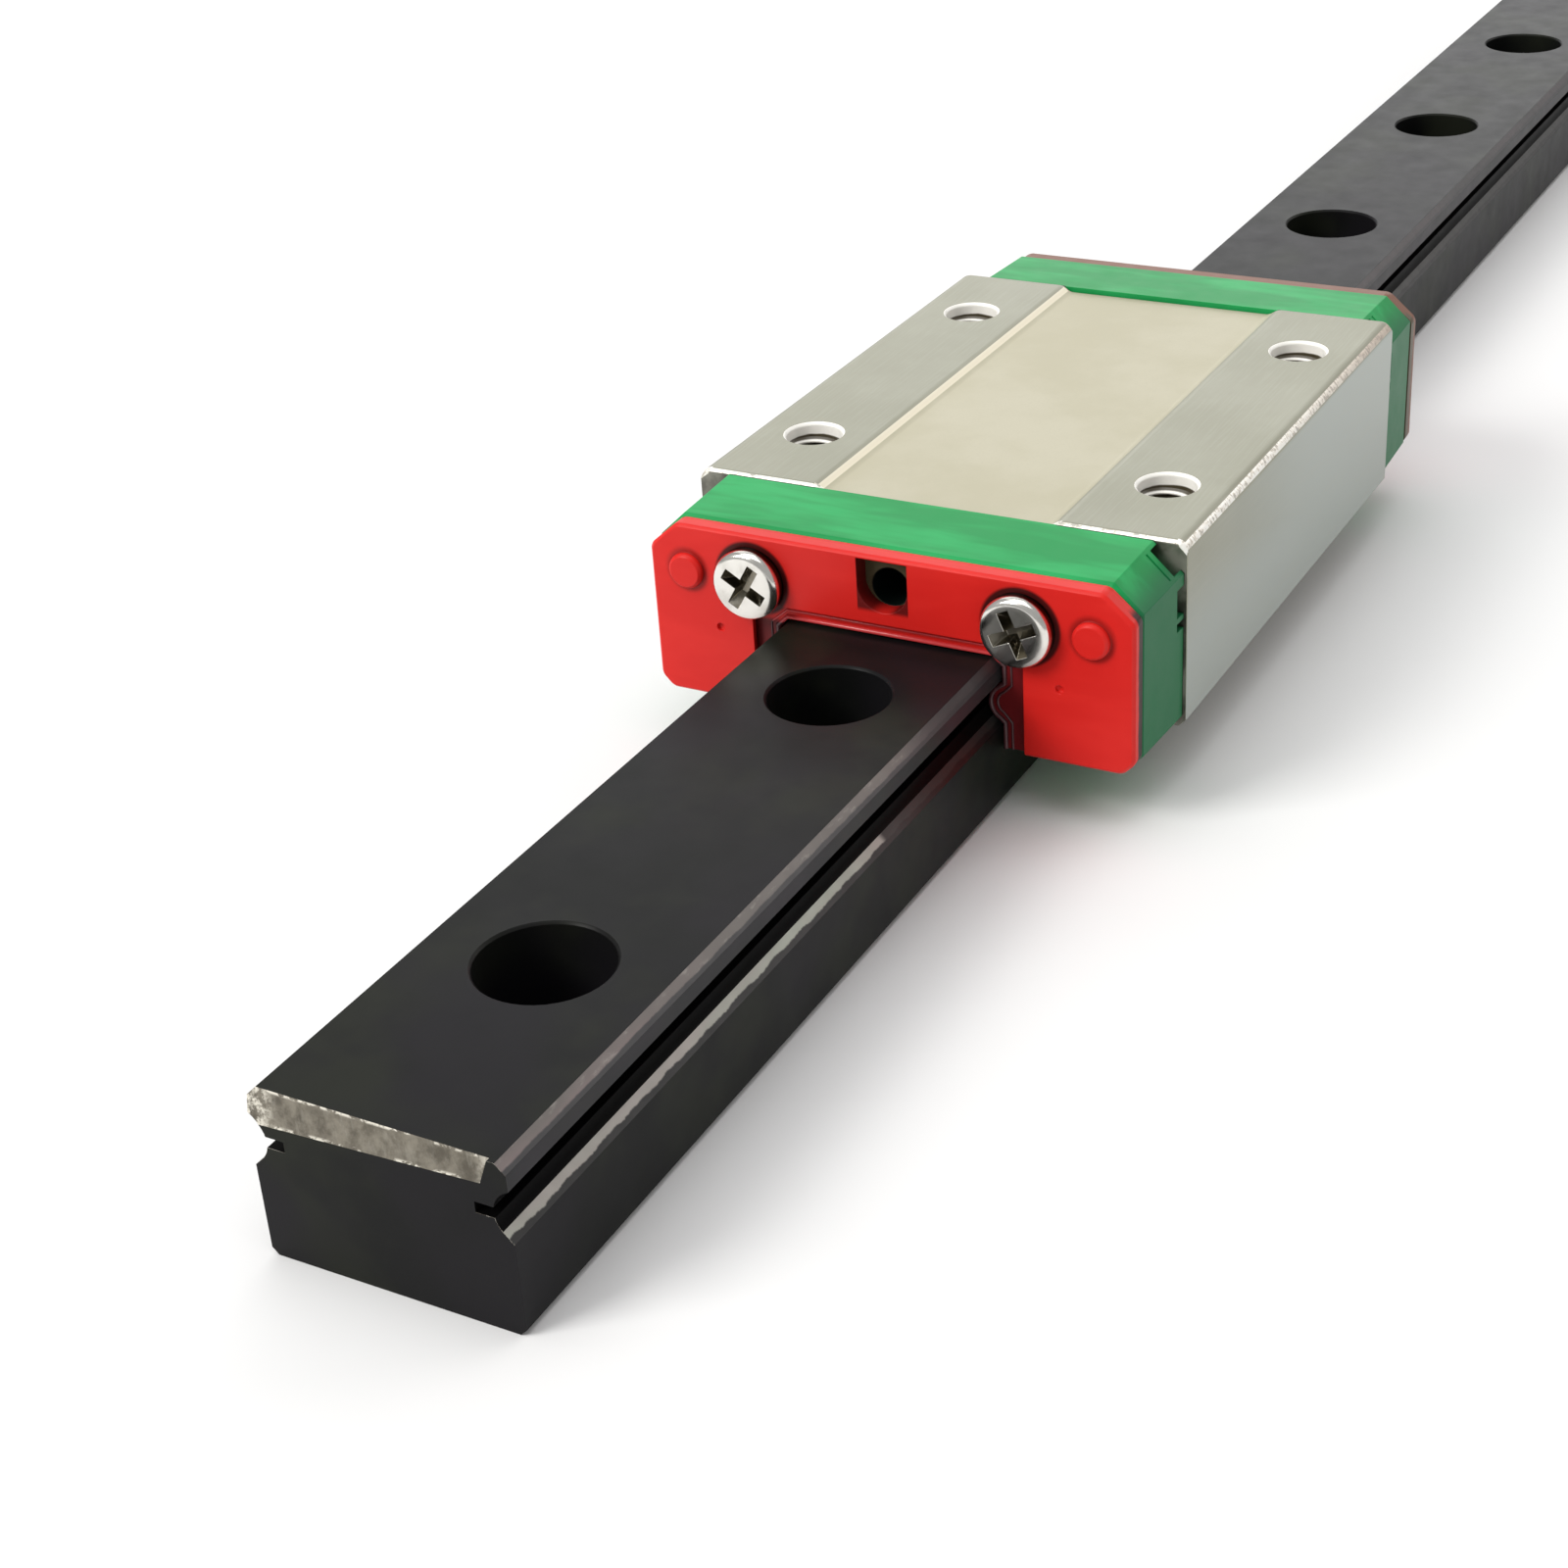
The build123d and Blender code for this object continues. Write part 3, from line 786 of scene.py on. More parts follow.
@dataclass(frozen=True)
class SealPlastic(MouldedPlastic):
    """The seals' plastic, with painted shade in its corners, on the lip zone at the rail's sides and on the
    rear seal's rim.
    """

    name: str = "red_moulding"
    colour: Colour = (0.69, 0.017, 0.013)
    light: Colour = (0.77, 0.026, 0.020)
    gloss: float = 0.36
    shine: float = 0.22
    face_reach: float = 22.2 * MM
    lip_reach: float = 21.7 * MM
    dirt_reach: float = 21.72 * MM
    side_y: float = 12.9 * MM
    rim_start: float = 12.0 * MM
    rear_x: float = -15.4 * MM
    row_z: float = 10.15 * MM
    screw_y: float = 7.3 * MM
    head_radius: float = 1.85 * MM
    boss_y: float = 11.0 * MM
    boss_radius: float = 0.95 * MM
    lip_half: float = 7.42 * MM
    lip_top_z: float = 7.8 * MM
    window_half: float = 1.35 * MM
    window_bottom_z: float = 9.5 * MM
    window_top_z: float = 12.35 * MM
    dirt: Colour = (0.035, 0.004, 0.004)
    painted_lip_shade: Colour = (0.050, 0.007, 0.010)
    rear_rim_shade: Colour = (0.120, 0.098, 0.060)

    def fill(self, graph: Graph) -> None:
        """Lay out the nodes.

        Args:
            graph: The material's builder.
        """
        reach, side, height = graph.reach(), graph.side(), graph.axis("Z")
        # Painted shade: the lip's zone at the rail's sides, below its top, is painted a dark dusky red.
        shaded_lip = graph.times(
            graph.fade(reach, self.lip_reach + 0.3 * MM, self.lip_reach + 0.2 * MM),
            graph.fade(side, self.lip_half + 0.06 * MM, self.lip_half),
            graph.fade(height, self.lip_top_z + 0.3 * MM, self.lip_top_z),
        )
        # Painted shade: the rear seal's outer rim is painted a dark brown.
        rear_rim = graph.times(
            graph.fade(graph.most(height, side), self.rim_start, self.rim_start + 0.1 * MM),
            graph.fade(reach, self.face_reach - 0.01 * MM, self.face_reach - 0.08 * MM),
            graph.fade(graph.axis("X"), self.rear_x - 0.5 * MM, self.rear_x + 0.5 * MM),
        )
        colour = graph.mix(graph.times(shaded_lip, 0.85), self.base(graph), self.painted_lip_shade)
        # Painted shade behind the rim, round the screws and bosses, and in the window.
        colour = graph.mix(self.dirty(graph, reach, side, height), colour, self.dirt)
        self.dress(graph, graph.mix(graph.times(rear_rim, 0.86), colour, self.rear_rim_shade))

    def dirty(self, graph: Graph, reach: Socket, side: Socket, height: Socket) -> Socket:
        """Where shade is painted: behind the rim, round screws and bosses, and in the window.

        Args:
            graph: The material's builder.
            reach: The distance along X from the carriage's middle.
            side: The distance from the middle plane.
            height: The height.

        Returns:
            The mask.
        """
        wavering = graph.between(graph.noise(0.7, 3.0), -0.12 * MM, 0.12 * MM)
        ragged_reach = graph.math("ADD", reach, wavering)
        behind_rim = graph.times(
            graph.fade(ragged_reach, self.dirt_reach + 0.1 * MM, self.dirt_reach - 0.1 * MM),
            graph.fade(side, self.side_y - 0.4 * MM, self.side_y),
        )
        from_screw = graph.from_axis(self.screw_y, self.row_z)
        round_screw = graph.fade(from_screw, self.head_radius + 0.34 * MM, self.head_radius + 0.14 * MM)
        from_boss = graph.from_axis(self.boss_y, self.row_z)
        round_boss = graph.times(
            graph.fade(from_boss, self.boss_radius + 0.42 * MM, self.boss_radius + 0.04 * MM),
            graph.fade(reach, self.face_reach + 0.12 * MM, self.face_reach + 0.06 * MM),
        )
        in_window = graph.times(
            graph.fade(side, self.window_half + 0.05 * MM, self.window_half + 0.01 * MM),
            graph.fade(height, self.window_bottom_z, self.window_bottom_z + 0.3 * MM),
            graph.fade(height, self.window_top_z + 0.03 * MM, self.window_top_z + 0.01 * MM),
        )
        shares = ((round_screw, 0.96), (round_boss, 0.5), (in_window, 0.85))
        return graph.most(behind_rim, *(graph.times(mask, share) for mask, share in shares))


@dataclass(frozen=True)
class LipPlastic(MouldedPlastic):
    """The beads of the wiping lip, pinkish over the rail, with painted shade on the beads at the rail's
    sides.
    """

    name: str = "lip_moulding"
    colour: Colour = (0.70, 0.055, 0.06)
    light: Colour = (0.78, 0.10, 0.10)
    gloss: float = 0.22
    shine: float = 0.5
    shaded_lip: Colour = (0.075, 0.025, 0.029)
    lip_top_z: float = 7.8 * MM

    def fill(self, graph: Graph) -> None:
        """Lay out the nodes.

        Args:
            graph: The material's builder.
        """
        # Painted shade: the beads below the lip's top are painted a dark dusky red.
        low = graph.fade(graph.axis("Z"), self.lip_top_z + 0.2 * MM, self.lip_top_z)
        self.dress(graph, graph.mix(low, self.base(graph), self.shaded_lip))


@dataclass(frozen=True)
class BrightPlate(Finish):
    """Nickel plating or polished steel, slightly smeared."""

    name: str = "bright_plate"
    colour: Colour = (0.82, 0.80, 0.75)
    smear: Colour = (0.42, 0.40, 0.35)
    gloss: float = 0.16

    def fill(self, graph: Graph) -> None:
        """Lay out the nodes.

        Args:
            graph: The material's builder.
        """
        self.dress(graph, self.base(graph))

    def base(self, graph: Graph) -> Socket:
        """The plain colour with its smears.

        Args:
            graph: The material's builder.

        Returns:
            The colour socket.
        """
        smeared = graph.fade(graph.noise(0.9, 4.0, 0.6), 0.45, 0.7)
        return graph.mix(graph.times(smeared, 0.35), self.colour, self.smear)

    def dress(self, graph: Graph, colour: Socket) -> None:
        """Fill the shader.

        Args:
            graph: The material's builder.
            colour: The colour socket.
        """
        graph.set(
            Base_Color=colour,
            Metallic=1.0,
            Roughness=graph.between(graph.noise(2.4, 4.0), self.gloss - 0.04, self.gloss + 0.1),
        )
        graph.bump(graph.noise(3.0, 3.0), 0.3, 0.008 * MM)


@dataclass(frozen=True)
class HeadPlate(BrightPlate):
    """The plating of the screw heads, painted dark as shade where they meet the seal."""

    name: str = "head_plate"
    seat_reach: float = 22.2 * MM
    grease: Colour = (0.045, 0.036, 0.028)

    def fill(self, graph: Graph) -> None:
        """Lay out the nodes.

        Args:
            graph: The material's builder.
        """
        # Painted shade: the foot of the head is painted dark.
        low = graph.fade(graph.reach(), self.seat_reach + 0.60 * MM, self.seat_reach + 0.44 * MM)
        self.dress(graph, graph.mix(low, self.base(graph), self.grease))


class Finishes:
    """All the finishes of the guide, each made once."""

    def __init__(self) -> None:
        """Make every finish."""
        self.black = BlackenedSteel().build()
        self.rubbed = RubbedEdgeHighlight().build()
        # Painted reflection: the groove's lower edge strip is a pale pinkish-green reflection of the room,
        # nearly gone along the middle of the rail as painted shade.
        self.groove_edge = RubbedEdgeHighlight(
            name="rubbed_groove_edge",
            warm=(0.37, 0.345, 0.32),
            cool=(0.36, 0.38, 0.33),
            below=(0.008, 0.008, 0.008),
            low_z=4.57 * MM,
            waver=0.16 * MM,
            faint_x=68.8 * MM,
            clear_x=69.3 * MM,
            least=0.06,
        ).build()
        # Painted reflection: the side land above the groove is a lighter grey copy of the blackened steel,
        # for the bright floor it reflects.
        self.land = BlackenedSteel(
            name="land_painted_reflection",
            dark=(0.028, 0.028, 0.030),
            olive=(0.033, 0.033, 0.032),
            violet=(0.036, 0.033, 0.038),
        ).build()
        # Painted shade: the groove's inside is a near-black copy of the blackened steel.
        self.groove = BlackenedSteel(
            name="groove_painted_shade",
            dark=(0.0008, 0.0008, 0.0009),
            olive=(0.0012, 0.0012, 0.0010),
            violet=(0.0011, 0.0009, 0.0013),
            gleam=0.03,
        ).build()
        self.filed = FiledSteel().build()
        self.ground = GroundSteel().build()
        self.worn = WornEdge().build()
        self.oiled = ShadedEndSteel().build()
        self.green = CapPlastic().build()
        self.red = SealPlastic().build()
        self.lip = LipPlastic().build()
        self.bright = BrightPlate().build()
        self.head = HeadPlate().build()
        self.tapped = TappedSteel().build()
        # Painted shade: the cross recess gets a darker plating colour.
        self.grimy = BrightPlate(name="grimy_recess", colour=(0.22, 0.20, 0.155), gloss=0.22).build()
        self.polished = BrightPlate(name="polished_balls", colour=(0.7, 0.7, 0.7), gloss=0.1).build()


class RailFinish(Enum):
    """The finishes of the rail's faces, with their material indices."""

    BLACK = 0
    RUBBED = 1
    FILED = 2
    GROOVE_EDGE = 3
    LAND = 4
    GROOVE = 5


class BlockFinish(Enum):
    """The finishes of the saddle's faces, with their material indices."""

    GROUND = 0
    WORN = 1
    TAPPED = 2
    OILED = 3


class ScrewFinish(Enum):
    """The finishes of a screw's faces, with their material indices."""

    PLATED = 0
    GRIMY = 1


def link(name: str, mesh: bpy.types.Mesh) -> Piece:
    """Put a mesh in the scene as an object at the origin.

    Args:
        name: The object's name.
        mesh: The mesh.

    Returns:
        The new object.
    """
    made = bpy.data.objects.new(name, mesh)
    bpy.context.scene.collection.objects.link(made)
    return made


def finish_mesh(bm: Shape, name: str, smooth_below: float = 35.0) -> Piece:
    """Turn a bmesh into a smooth-shaded object with its sharp edges marked.

    Args:
        bm: The shape, which is freed.
        name: The object's name.
        smooth_below: Edges that turn by less than this many degrees are shaded smooth.

    Returns:
        The new object.
    """
    for face in bm.faces:
        face.smooth = True
    mesh = bpy.data.meshes.new(name)
    bm.to_mesh(mesh)
    bm.free()
    mesh.set_sharp_from_angle(angle=math.radians(smooth_below))
    return link(name, mesh)


def bevel_edges(bm: Shape, edges: list[Edge], width: float, segments: int) -> None:
    """Round edges of a mesh.

    Args:
        bm: The mesh.
        edges: The edges to round.
        width: How far the rounding reaches from an edge, in metres.
        segments: Steps in the rounding.
    """
    bmesh.ops.bevel(
        bm,
        geom=edges,
        offset=width,
        offset_type="OFFSET",
        affect="EDGES",
        segments=segments,
        profile=0.5,
        material=-1,
        clamp_overlap=True,
    )


def is_sharp(edge: Edge, degrees: float) -> bool:
    """Whether an edge joins two faces that turn by more than an angle."""
    return edge.is_manifold and edge.calc_face_angle(0) > math.radians(degrees)


def runs_along_x(edge: Edge) -> bool:
    """Whether an edge runs mainly along X."""
    way = (edge.verts[1].co - edge.verts[0].co).normalized()
    return abs(way.x) > 0.5


def merged_copy(node: str) -> Shape:
    """Copy a CAD node's mesh with its triangles joined.

    Args:
        node: The CAD node.

    Returns:
        The copy, still to be freed.
    """
    bm = bmesh.new()
    bm.from_mesh(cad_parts[node].data)
    bmesh.ops.remove_doubles(bm, verts=bm.verts, dist=MERGE_DISTANCE)
    return bm


def rounded_copy(
    node: str,
    name: str,
    width: float,
    corner: Callable[[Edge], bool] | None = None,
    corner_width: float = 0.0,
) -> Piece:
    """Copy a CAD node with its triangles merged and its sharp edges rounded.

    Args:
        node: The CAD node.
        name: The copy's name.
        width: How far the rounding reaches from an edge, in metres.
        corner: Picks sharp edges that get a larger rounding first.
        corner_width: The reach of that larger rounding, in metres.

    Returns:
        The copy, which stands for the node.
    """
    bm = merged_copy(node)
    bmesh.ops.dissolve_limit(
        bm,
        angle_limit=math.radians(FLAT_WITHIN_DEGREES),
        verts=bm.verts,
        edges=bm.edges,
        use_dissolve_boundaries=False,
    )
    if corner:
        large = [edge for edge in bm.edges if is_sharp(edge, CORNER_DEGREES) and corner(edge)]
        bevel_edges(bm, large, corner_width, CORNER_STEPS)
    bevel_edges(bm, [edge for edge in bm.edges if is_sharp(edge, EDGE_DEGREES)], width, EDGE_STEPS)
    copy = finish_mesh(bm, name)
    weights = copy.modifiers.new("even_shading", "WEIGHTED_NORMAL")
    weights.keep_sharp = True
    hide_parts(node)
    return copy


def tube(name: str, points: Iterable[Point], radius: float) -> Piece:
    """A round bead along straight runs.

    Args:
        name: The object's name.
        points: The corners of its middle line, in metres.
        radius: The bead's radius, in metres.

    Returns:
        The bead as a mesh object.
    """
    curve = bpy.data.curves.new(name, "CURVE")
    curve.dimensions = "3D"
    curve.bevel_depth = radius
    curve.bevel_resolution = 2
    curve.use_fill_caps = True
    corners = list(points)
    spline = curve.splines.new("POLY")
    spline.points.add(len(corners) - 1)
    for point, corner in zip(spline.points, corners):
        point.co = (*corner, 1.0)
    draft = bpy.data.objects.new(name + "_draft", curve)
    mesh = bpy.data.meshes.new_from_object(draft)
    mesh.name = name
    bpy.data.objects.remove(draft)
    bpy.data.curves.remove(curve)
    for polygon in mesh.polygons:
        polygon.use_smooth = True
    return link(name, mesh)


def dress(piece: Piece, body: str, slot: Slot, *finishes: Material) -> None:
    """Give a piece its finishes and its body, and report it.

    Args:
        piece: The piece.
        body: The CAD body that it moves with.
        slot: Not used.
        *finishes: Its materials, in the order of its material indices.
    """
    piece.data.materials.clear()
    for finish in finishes:
        piece.data.materials.append(finish)
    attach(piece, body)
    log.info("%s: %d faces, rides on %s", piece.name, len(piece.data.polygons), body)


def paint(piece: Piece, choose: Callable[[Facet], Enum]) -> None:
    """Give each face of a piece its finish.

    Args:
        piece: The piece.
        choose: Returns the finish of a face, with the material index as its value.
    """
    for polygon in piece.data.polygons:
        polygon.material_index = choose(polygon).value


@dataclass
class Rail:
    """The blackened rail with its rubbed edges, partly painted highlight, and filed ends."""

    finishes: Finishes
    edge_rounding: float = 0.06 * MM
    end_x: float = 99.4 * MM
    side_y: float = 6.0 * MM
    edge_y: float = 5.5 * MM
    groove_floor_y: float = 4.0 * MM
    groove_middle_z: float = 5.65 * MM
    groove_half: float = 1.3 * MM

    def build(self) -> None:
        """Make the rail."""
        rail = rounded_copy("rail", "rail_steel", self.edge_rounding)
        made = self.finishes
        coats = (made.black, made.rubbed, made.filed, made.groove_edge, made.land, made.groove)
        dress(rail, "rail", Slot.BLACK_STEEL, *coats)
        paint(rail, self.finish_of)

    def finish_of(self, polygon: Facet) -> RailFinish:
        """The finish of one face.

        Args:
            polygon: The face.

        Returns:
            Its finish.
        """
        normal, height, side = polygon.normal, polygon.center.z, abs(polygon.center.y)
        if abs(polygon.center.x) > self.end_x and abs(normal.x) > 0.85 and 0.1 < normal.z < 0.5:
            return RailFinish.FILED
        above_groove = height > self.groove_middle_z
        slanted = 0.62 < normal.z < 0.8 and 0.62 < abs(normal.y) < 0.8
        if slanted and side > self.edge_y and abs(normal.x) < 0.1:
            return RailFinish.RUBBED if above_groove else RailFinish.GROOVE_EDGE
        if abs(normal.x) > 0.5:
            return RailFinish.BLACK
        if abs(normal.y) > 0.95 and above_groove and side > self.side_y - 0.05 * MM:
            return RailFinish.LAND
        in_groove = abs(height - self.groove_middle_z) < self.groove_half
        if in_groove and self.groove_floor_y < side < self.side_y - NEAR:
            return RailFinish.GROOVE
        return RailFinish.BLACK


@dataclass
class Thread:
    """The helical ridge of a tapped hole, whose foot and crest are shares of its pitch."""

    x: float
    y: float
    top_z: float
    major_radius: float = 1.5 * MM
    minor_radius: float = 1.24 * MM
    sunk: float = 0.03 * MM
    pitch: float = 0.5 * MM
    foot_half: float = 0.46
    crest_half: float = 0.06
    turns: int = 4
    steps_per_turn: int = 40
    first_crest_below: float = 0.77 * MM
    start_angle: float = 200.0
    run_in: float = 0.3
    smooth_below: float = 25.0

    def build(self, name: str) -> Piece:
        """Make the ridge.

        Args:
            name: The object's name.

        Returns:
            The ridge, with closed ends.
        """
        root = self.major_radius + self.sunk
        half, crest = self.foot_half * self.pitch, self.crest_half * self.pitch
        corners = ((root, -half), (self.minor_radius, -crest), (self.minor_radius, crest), (root, half))
        start_z = self.top_z - self.first_crest_below
        start = math.radians(self.start_angle)
        bm = bmesh.new()
        ring = [
            bm.verts.new((self.x + radius * math.cos(start), self.y + radius * math.sin(start), start_z + z))
            for radius, z in corners
        ]
        bmesh.ops.spin(
            bm,
            geom=[bm.faces.new(ring)],
            cent=(self.x, self.y, 0),
            axis=(0, 0, 1),
            dvec=(0, 0, -self.pitch / self.steps_per_turn),
            angle=-2 * math.pi * self.turns,
            steps=self.steps_per_turn * self.turns,
            use_merge=False,
        )
        bm.verts.index_update()
        for vert in bm.verts:
            grown = min(1.0, (vert.index // len(corners)) / (self.run_in * self.steps_per_turn))
            spoke = Vector((vert.co.x - self.x, vert.co.y - self.y, 0))
            radius = root + (spoke.length - root) * grown
            vert.co += spoke.normalized() * (radius - spoke.length)
        bmesh.ops.recalc_face_normals(bm, faces=bm.faces)
        return finish_mesh(bm, name, self.smooth_below)


@dataclass
class SteelBlock:
    """The steel saddle with its four tapped holes and worn top edges."""

    finishes: Finishes
    edge_rounding: float = 0.05 * MM
    end_edge_rounding: float = 0.28 * MM
    top_zone: float = 0.5 * MM
    tap_spacing_x: float = 20.0 * MM
    tap_spacing_y: float = 20.0 * MM
    tap_reach: float = 1.72 * MM
    tap_depth: float = 4.0 * MM
    low: Vector = field(init=False)
    high: Vector = field(init=False)

    def __post_init__(self) -> None:
        """Look up the saddle's box."""
        self.low, self.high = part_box("carriage_block")

    def build(self) -> None:
        """Make the saddle and its threads."""
        block = rounded_copy(
            "carriage_block",
            "carriage_steel",
            self.edge_rounding,
            self.is_top_end_edge,
            self.end_edge_rounding,
        )
        made = self.finishes
        dress(block, "carriage", Slot.GROUND_STEEL, made.ground, made.worn, made.tapped, made.oiled)
        paint(block, self.finish_of)
        for place, (x, y) in self.taps().items():
            thread = Thread(x=x, y=y, top_z=self.high[2]).build(f"thread_{place}")
            dress(thread, "carriage", Slot.GROUND_STEEL, made.tapped)

    def taps(self) -> dict[str, tuple[float, float]]:
        """The middles of the tapped holes.

        Returns:
            Each hole's X and Y, by the name of its place.
        """
        middle_x = (self.low[0] + self.high[0]) / 2
        return {
            f"{end.word}_{hand.word}": (
                middle_x + end.value * self.tap_spacing_x / 2,
                hand.value * self.tap_spacing_y / 2,
            )
            for end in Side
            for hand in Hand
        }

    def from_end(self, x: float) -> float:
        """How far a place along X lies from the nearer end face."""
        return min(abs(x - self.low[0]), abs(x - self.high[0]))

    def is_top_end_edge(self, edge: Edge) -> bool:
        """Whether an edge is where the top meets an end face."""
        at_top = min(vert.co.z for vert in edge.verts) > self.high[2] - self.top_zone
        return at_top and all(self.from_end(vert.co.x) < NEAR for vert in edge.verts)

    def finish_of(self, polygon: Facet) -> BlockFinish:
        """The finish of one face.

        Args:
            polygon: The face.

        Returns:
            Its finish.
        """
        normal, centre, top_z = polygon.normal, polygon.center, self.high[2]
        if centre.z > top_z - self.top_zone and 0.2 < normal.z < 0.97:
            at_side = abs(centre.y) > self.high[1] - self.top_zone and abs(normal.y) > 0.5
            if at_side or self.from_end(centre.x) < 1.05 * self.end_edge_rounding:
                return BlockFinish.WORN
        if normal.z < 0.97 and centre.z > top_z - self.tap_depth:
            for x, y in self.taps().values():
                if math.hypot(centre.x - x, centre.y - y) < self.tap_reach:
                    return BlockFinish.TAPPED
        # End faces below the top edge get the painted shade of the end faces.
        if abs(normal.x) > 0.9 and centre.z < top_z - 0.2 * MM:
            return BlockFinish.OILED
        return BlockFinish.GROUND


@dataclass
class EndCap:
    """One moulded end cap."""

    finishes: Finishes
    end: Side
    edge_rounding: float = 0.07 * MM

    def build(self) -> None:
        """Make the cap."""
        cap = rounded_copy(f"end_cap_{self.end.word}", f"cap_{self.end.word}", self.edge_rounding)
        dress(cap, "carriage", Slot.GREEN_PLASTIC, self.finishes.green)


@dataclass
class EndSeal:
    """One moulded end seal, with two beads along its wiping lip.

    A bead has a name, how far its middle line lies outside the lip's edge, and a radius.
    """

    finishes: Finishes
    end: Side
    edge_rounding: float = 0.08 * MM
    corner_y: float = 10.5 * MM
    corner_rounding: float = 0.22 * MM
    boss_height: float = 0.4 * MM
    lip_drop: float = 0.5 * MM
    lip_half: float = 6.5 * MM
    lip_middle_z: float = 5.5 * MM
    lip_degrees: float = 60.0
    beads: tuple[tuple[str, float, float], ...] = (
        ("edge", 0.15 * MM, 0.13 * MM),
        ("rib", 0.52 * MM, 0.07 * MM),
    )

    def build(self) -> None:
        """Make the seal."""
        word = self.end.word
        seal = rounded_copy(
            f"end_seal_{word}",
            f"seal_{word}",
            self.edge_rounding,
            lambda edge: runs_along_x(edge) and min(abs(v.co.y) for v in edge.verts) > self.corner_y,
            self.corner_rounding,
        )
        dress(seal, "carriage", Slot.RED_PLASTIC, self.finishes.red)
        path = self.lip_path()
        for label, away, radius in self.beads:
            bead = tube(f"lip_{label}_{word}", self.pushed_out(path, away), radius)
            dress(bead, "carriage", Slot.RED_PLASTIC, self.finishes.lip)

    def lip_path(self) -> list[Vector]:
        """The lip's edge on its outer face, from the right foot over the rail to the left foot.

        Returns:
            The corners of the edge.
        """
        low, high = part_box(f"end_seal_{self.end.word}")
        outermost = low[0] if self.end is Side.FRONT else high[0]
        lip_x = outermost - self.end.value * (self.boss_height + self.lip_drop)
        bm = merged_copy(f"end_seal_{self.end.word}")
        chain = {}
        for edge in bm.edges:
            on_lip = all(abs(v.co.x - lip_x) < NEAR and abs(v.co.y) < self.lip_half for v in edge.verts)
            above_foot = max(v.co.z for v in edge.verts) > low[2] + NEAR
            if on_lip and above_foot and is_sharp(edge, self.lip_degrees):
                first, second = edge.verts
                chain.setdefault(first.index, []).append(second.index)
                chain.setdefault(second.index, []).append(first.index)
        bm.verts.ensure_lookup_table()
        feet = [index for index, others in chain.items() if len(others) == 1]
        here = min(feet, key=lambda index: bm.verts[index].co.y)
        path, seen = [], set()
        while here is not None:
            seen.add(here)
            path.append(bm.verts[here].co.copy())
            here = next((index for index in chain[here] if index not in seen), None)
        bm.free()
        return path

    def pushed_out(self, path: list[Vector], away: float) -> list[Vector]:
        """A path moved away from the rail in the plane of the lip.

        Args:
            path: The path.
            away: How far it moves.

        Returns:
            The moved path.
        """
        moved = []
        for index, point in enumerate(path):
            before = path[max(index - 1, 0)]
            after = path[min(index + 1, len(path) - 1)]
            along = (after - before).normalized()
            out = Vector((0, -along.z, along.y))
            if out.dot(point - Vector((point.x, 0, self.lip_middle_z))) < 0:
                out = -out
            moved.append(point + out * away)
        return moved


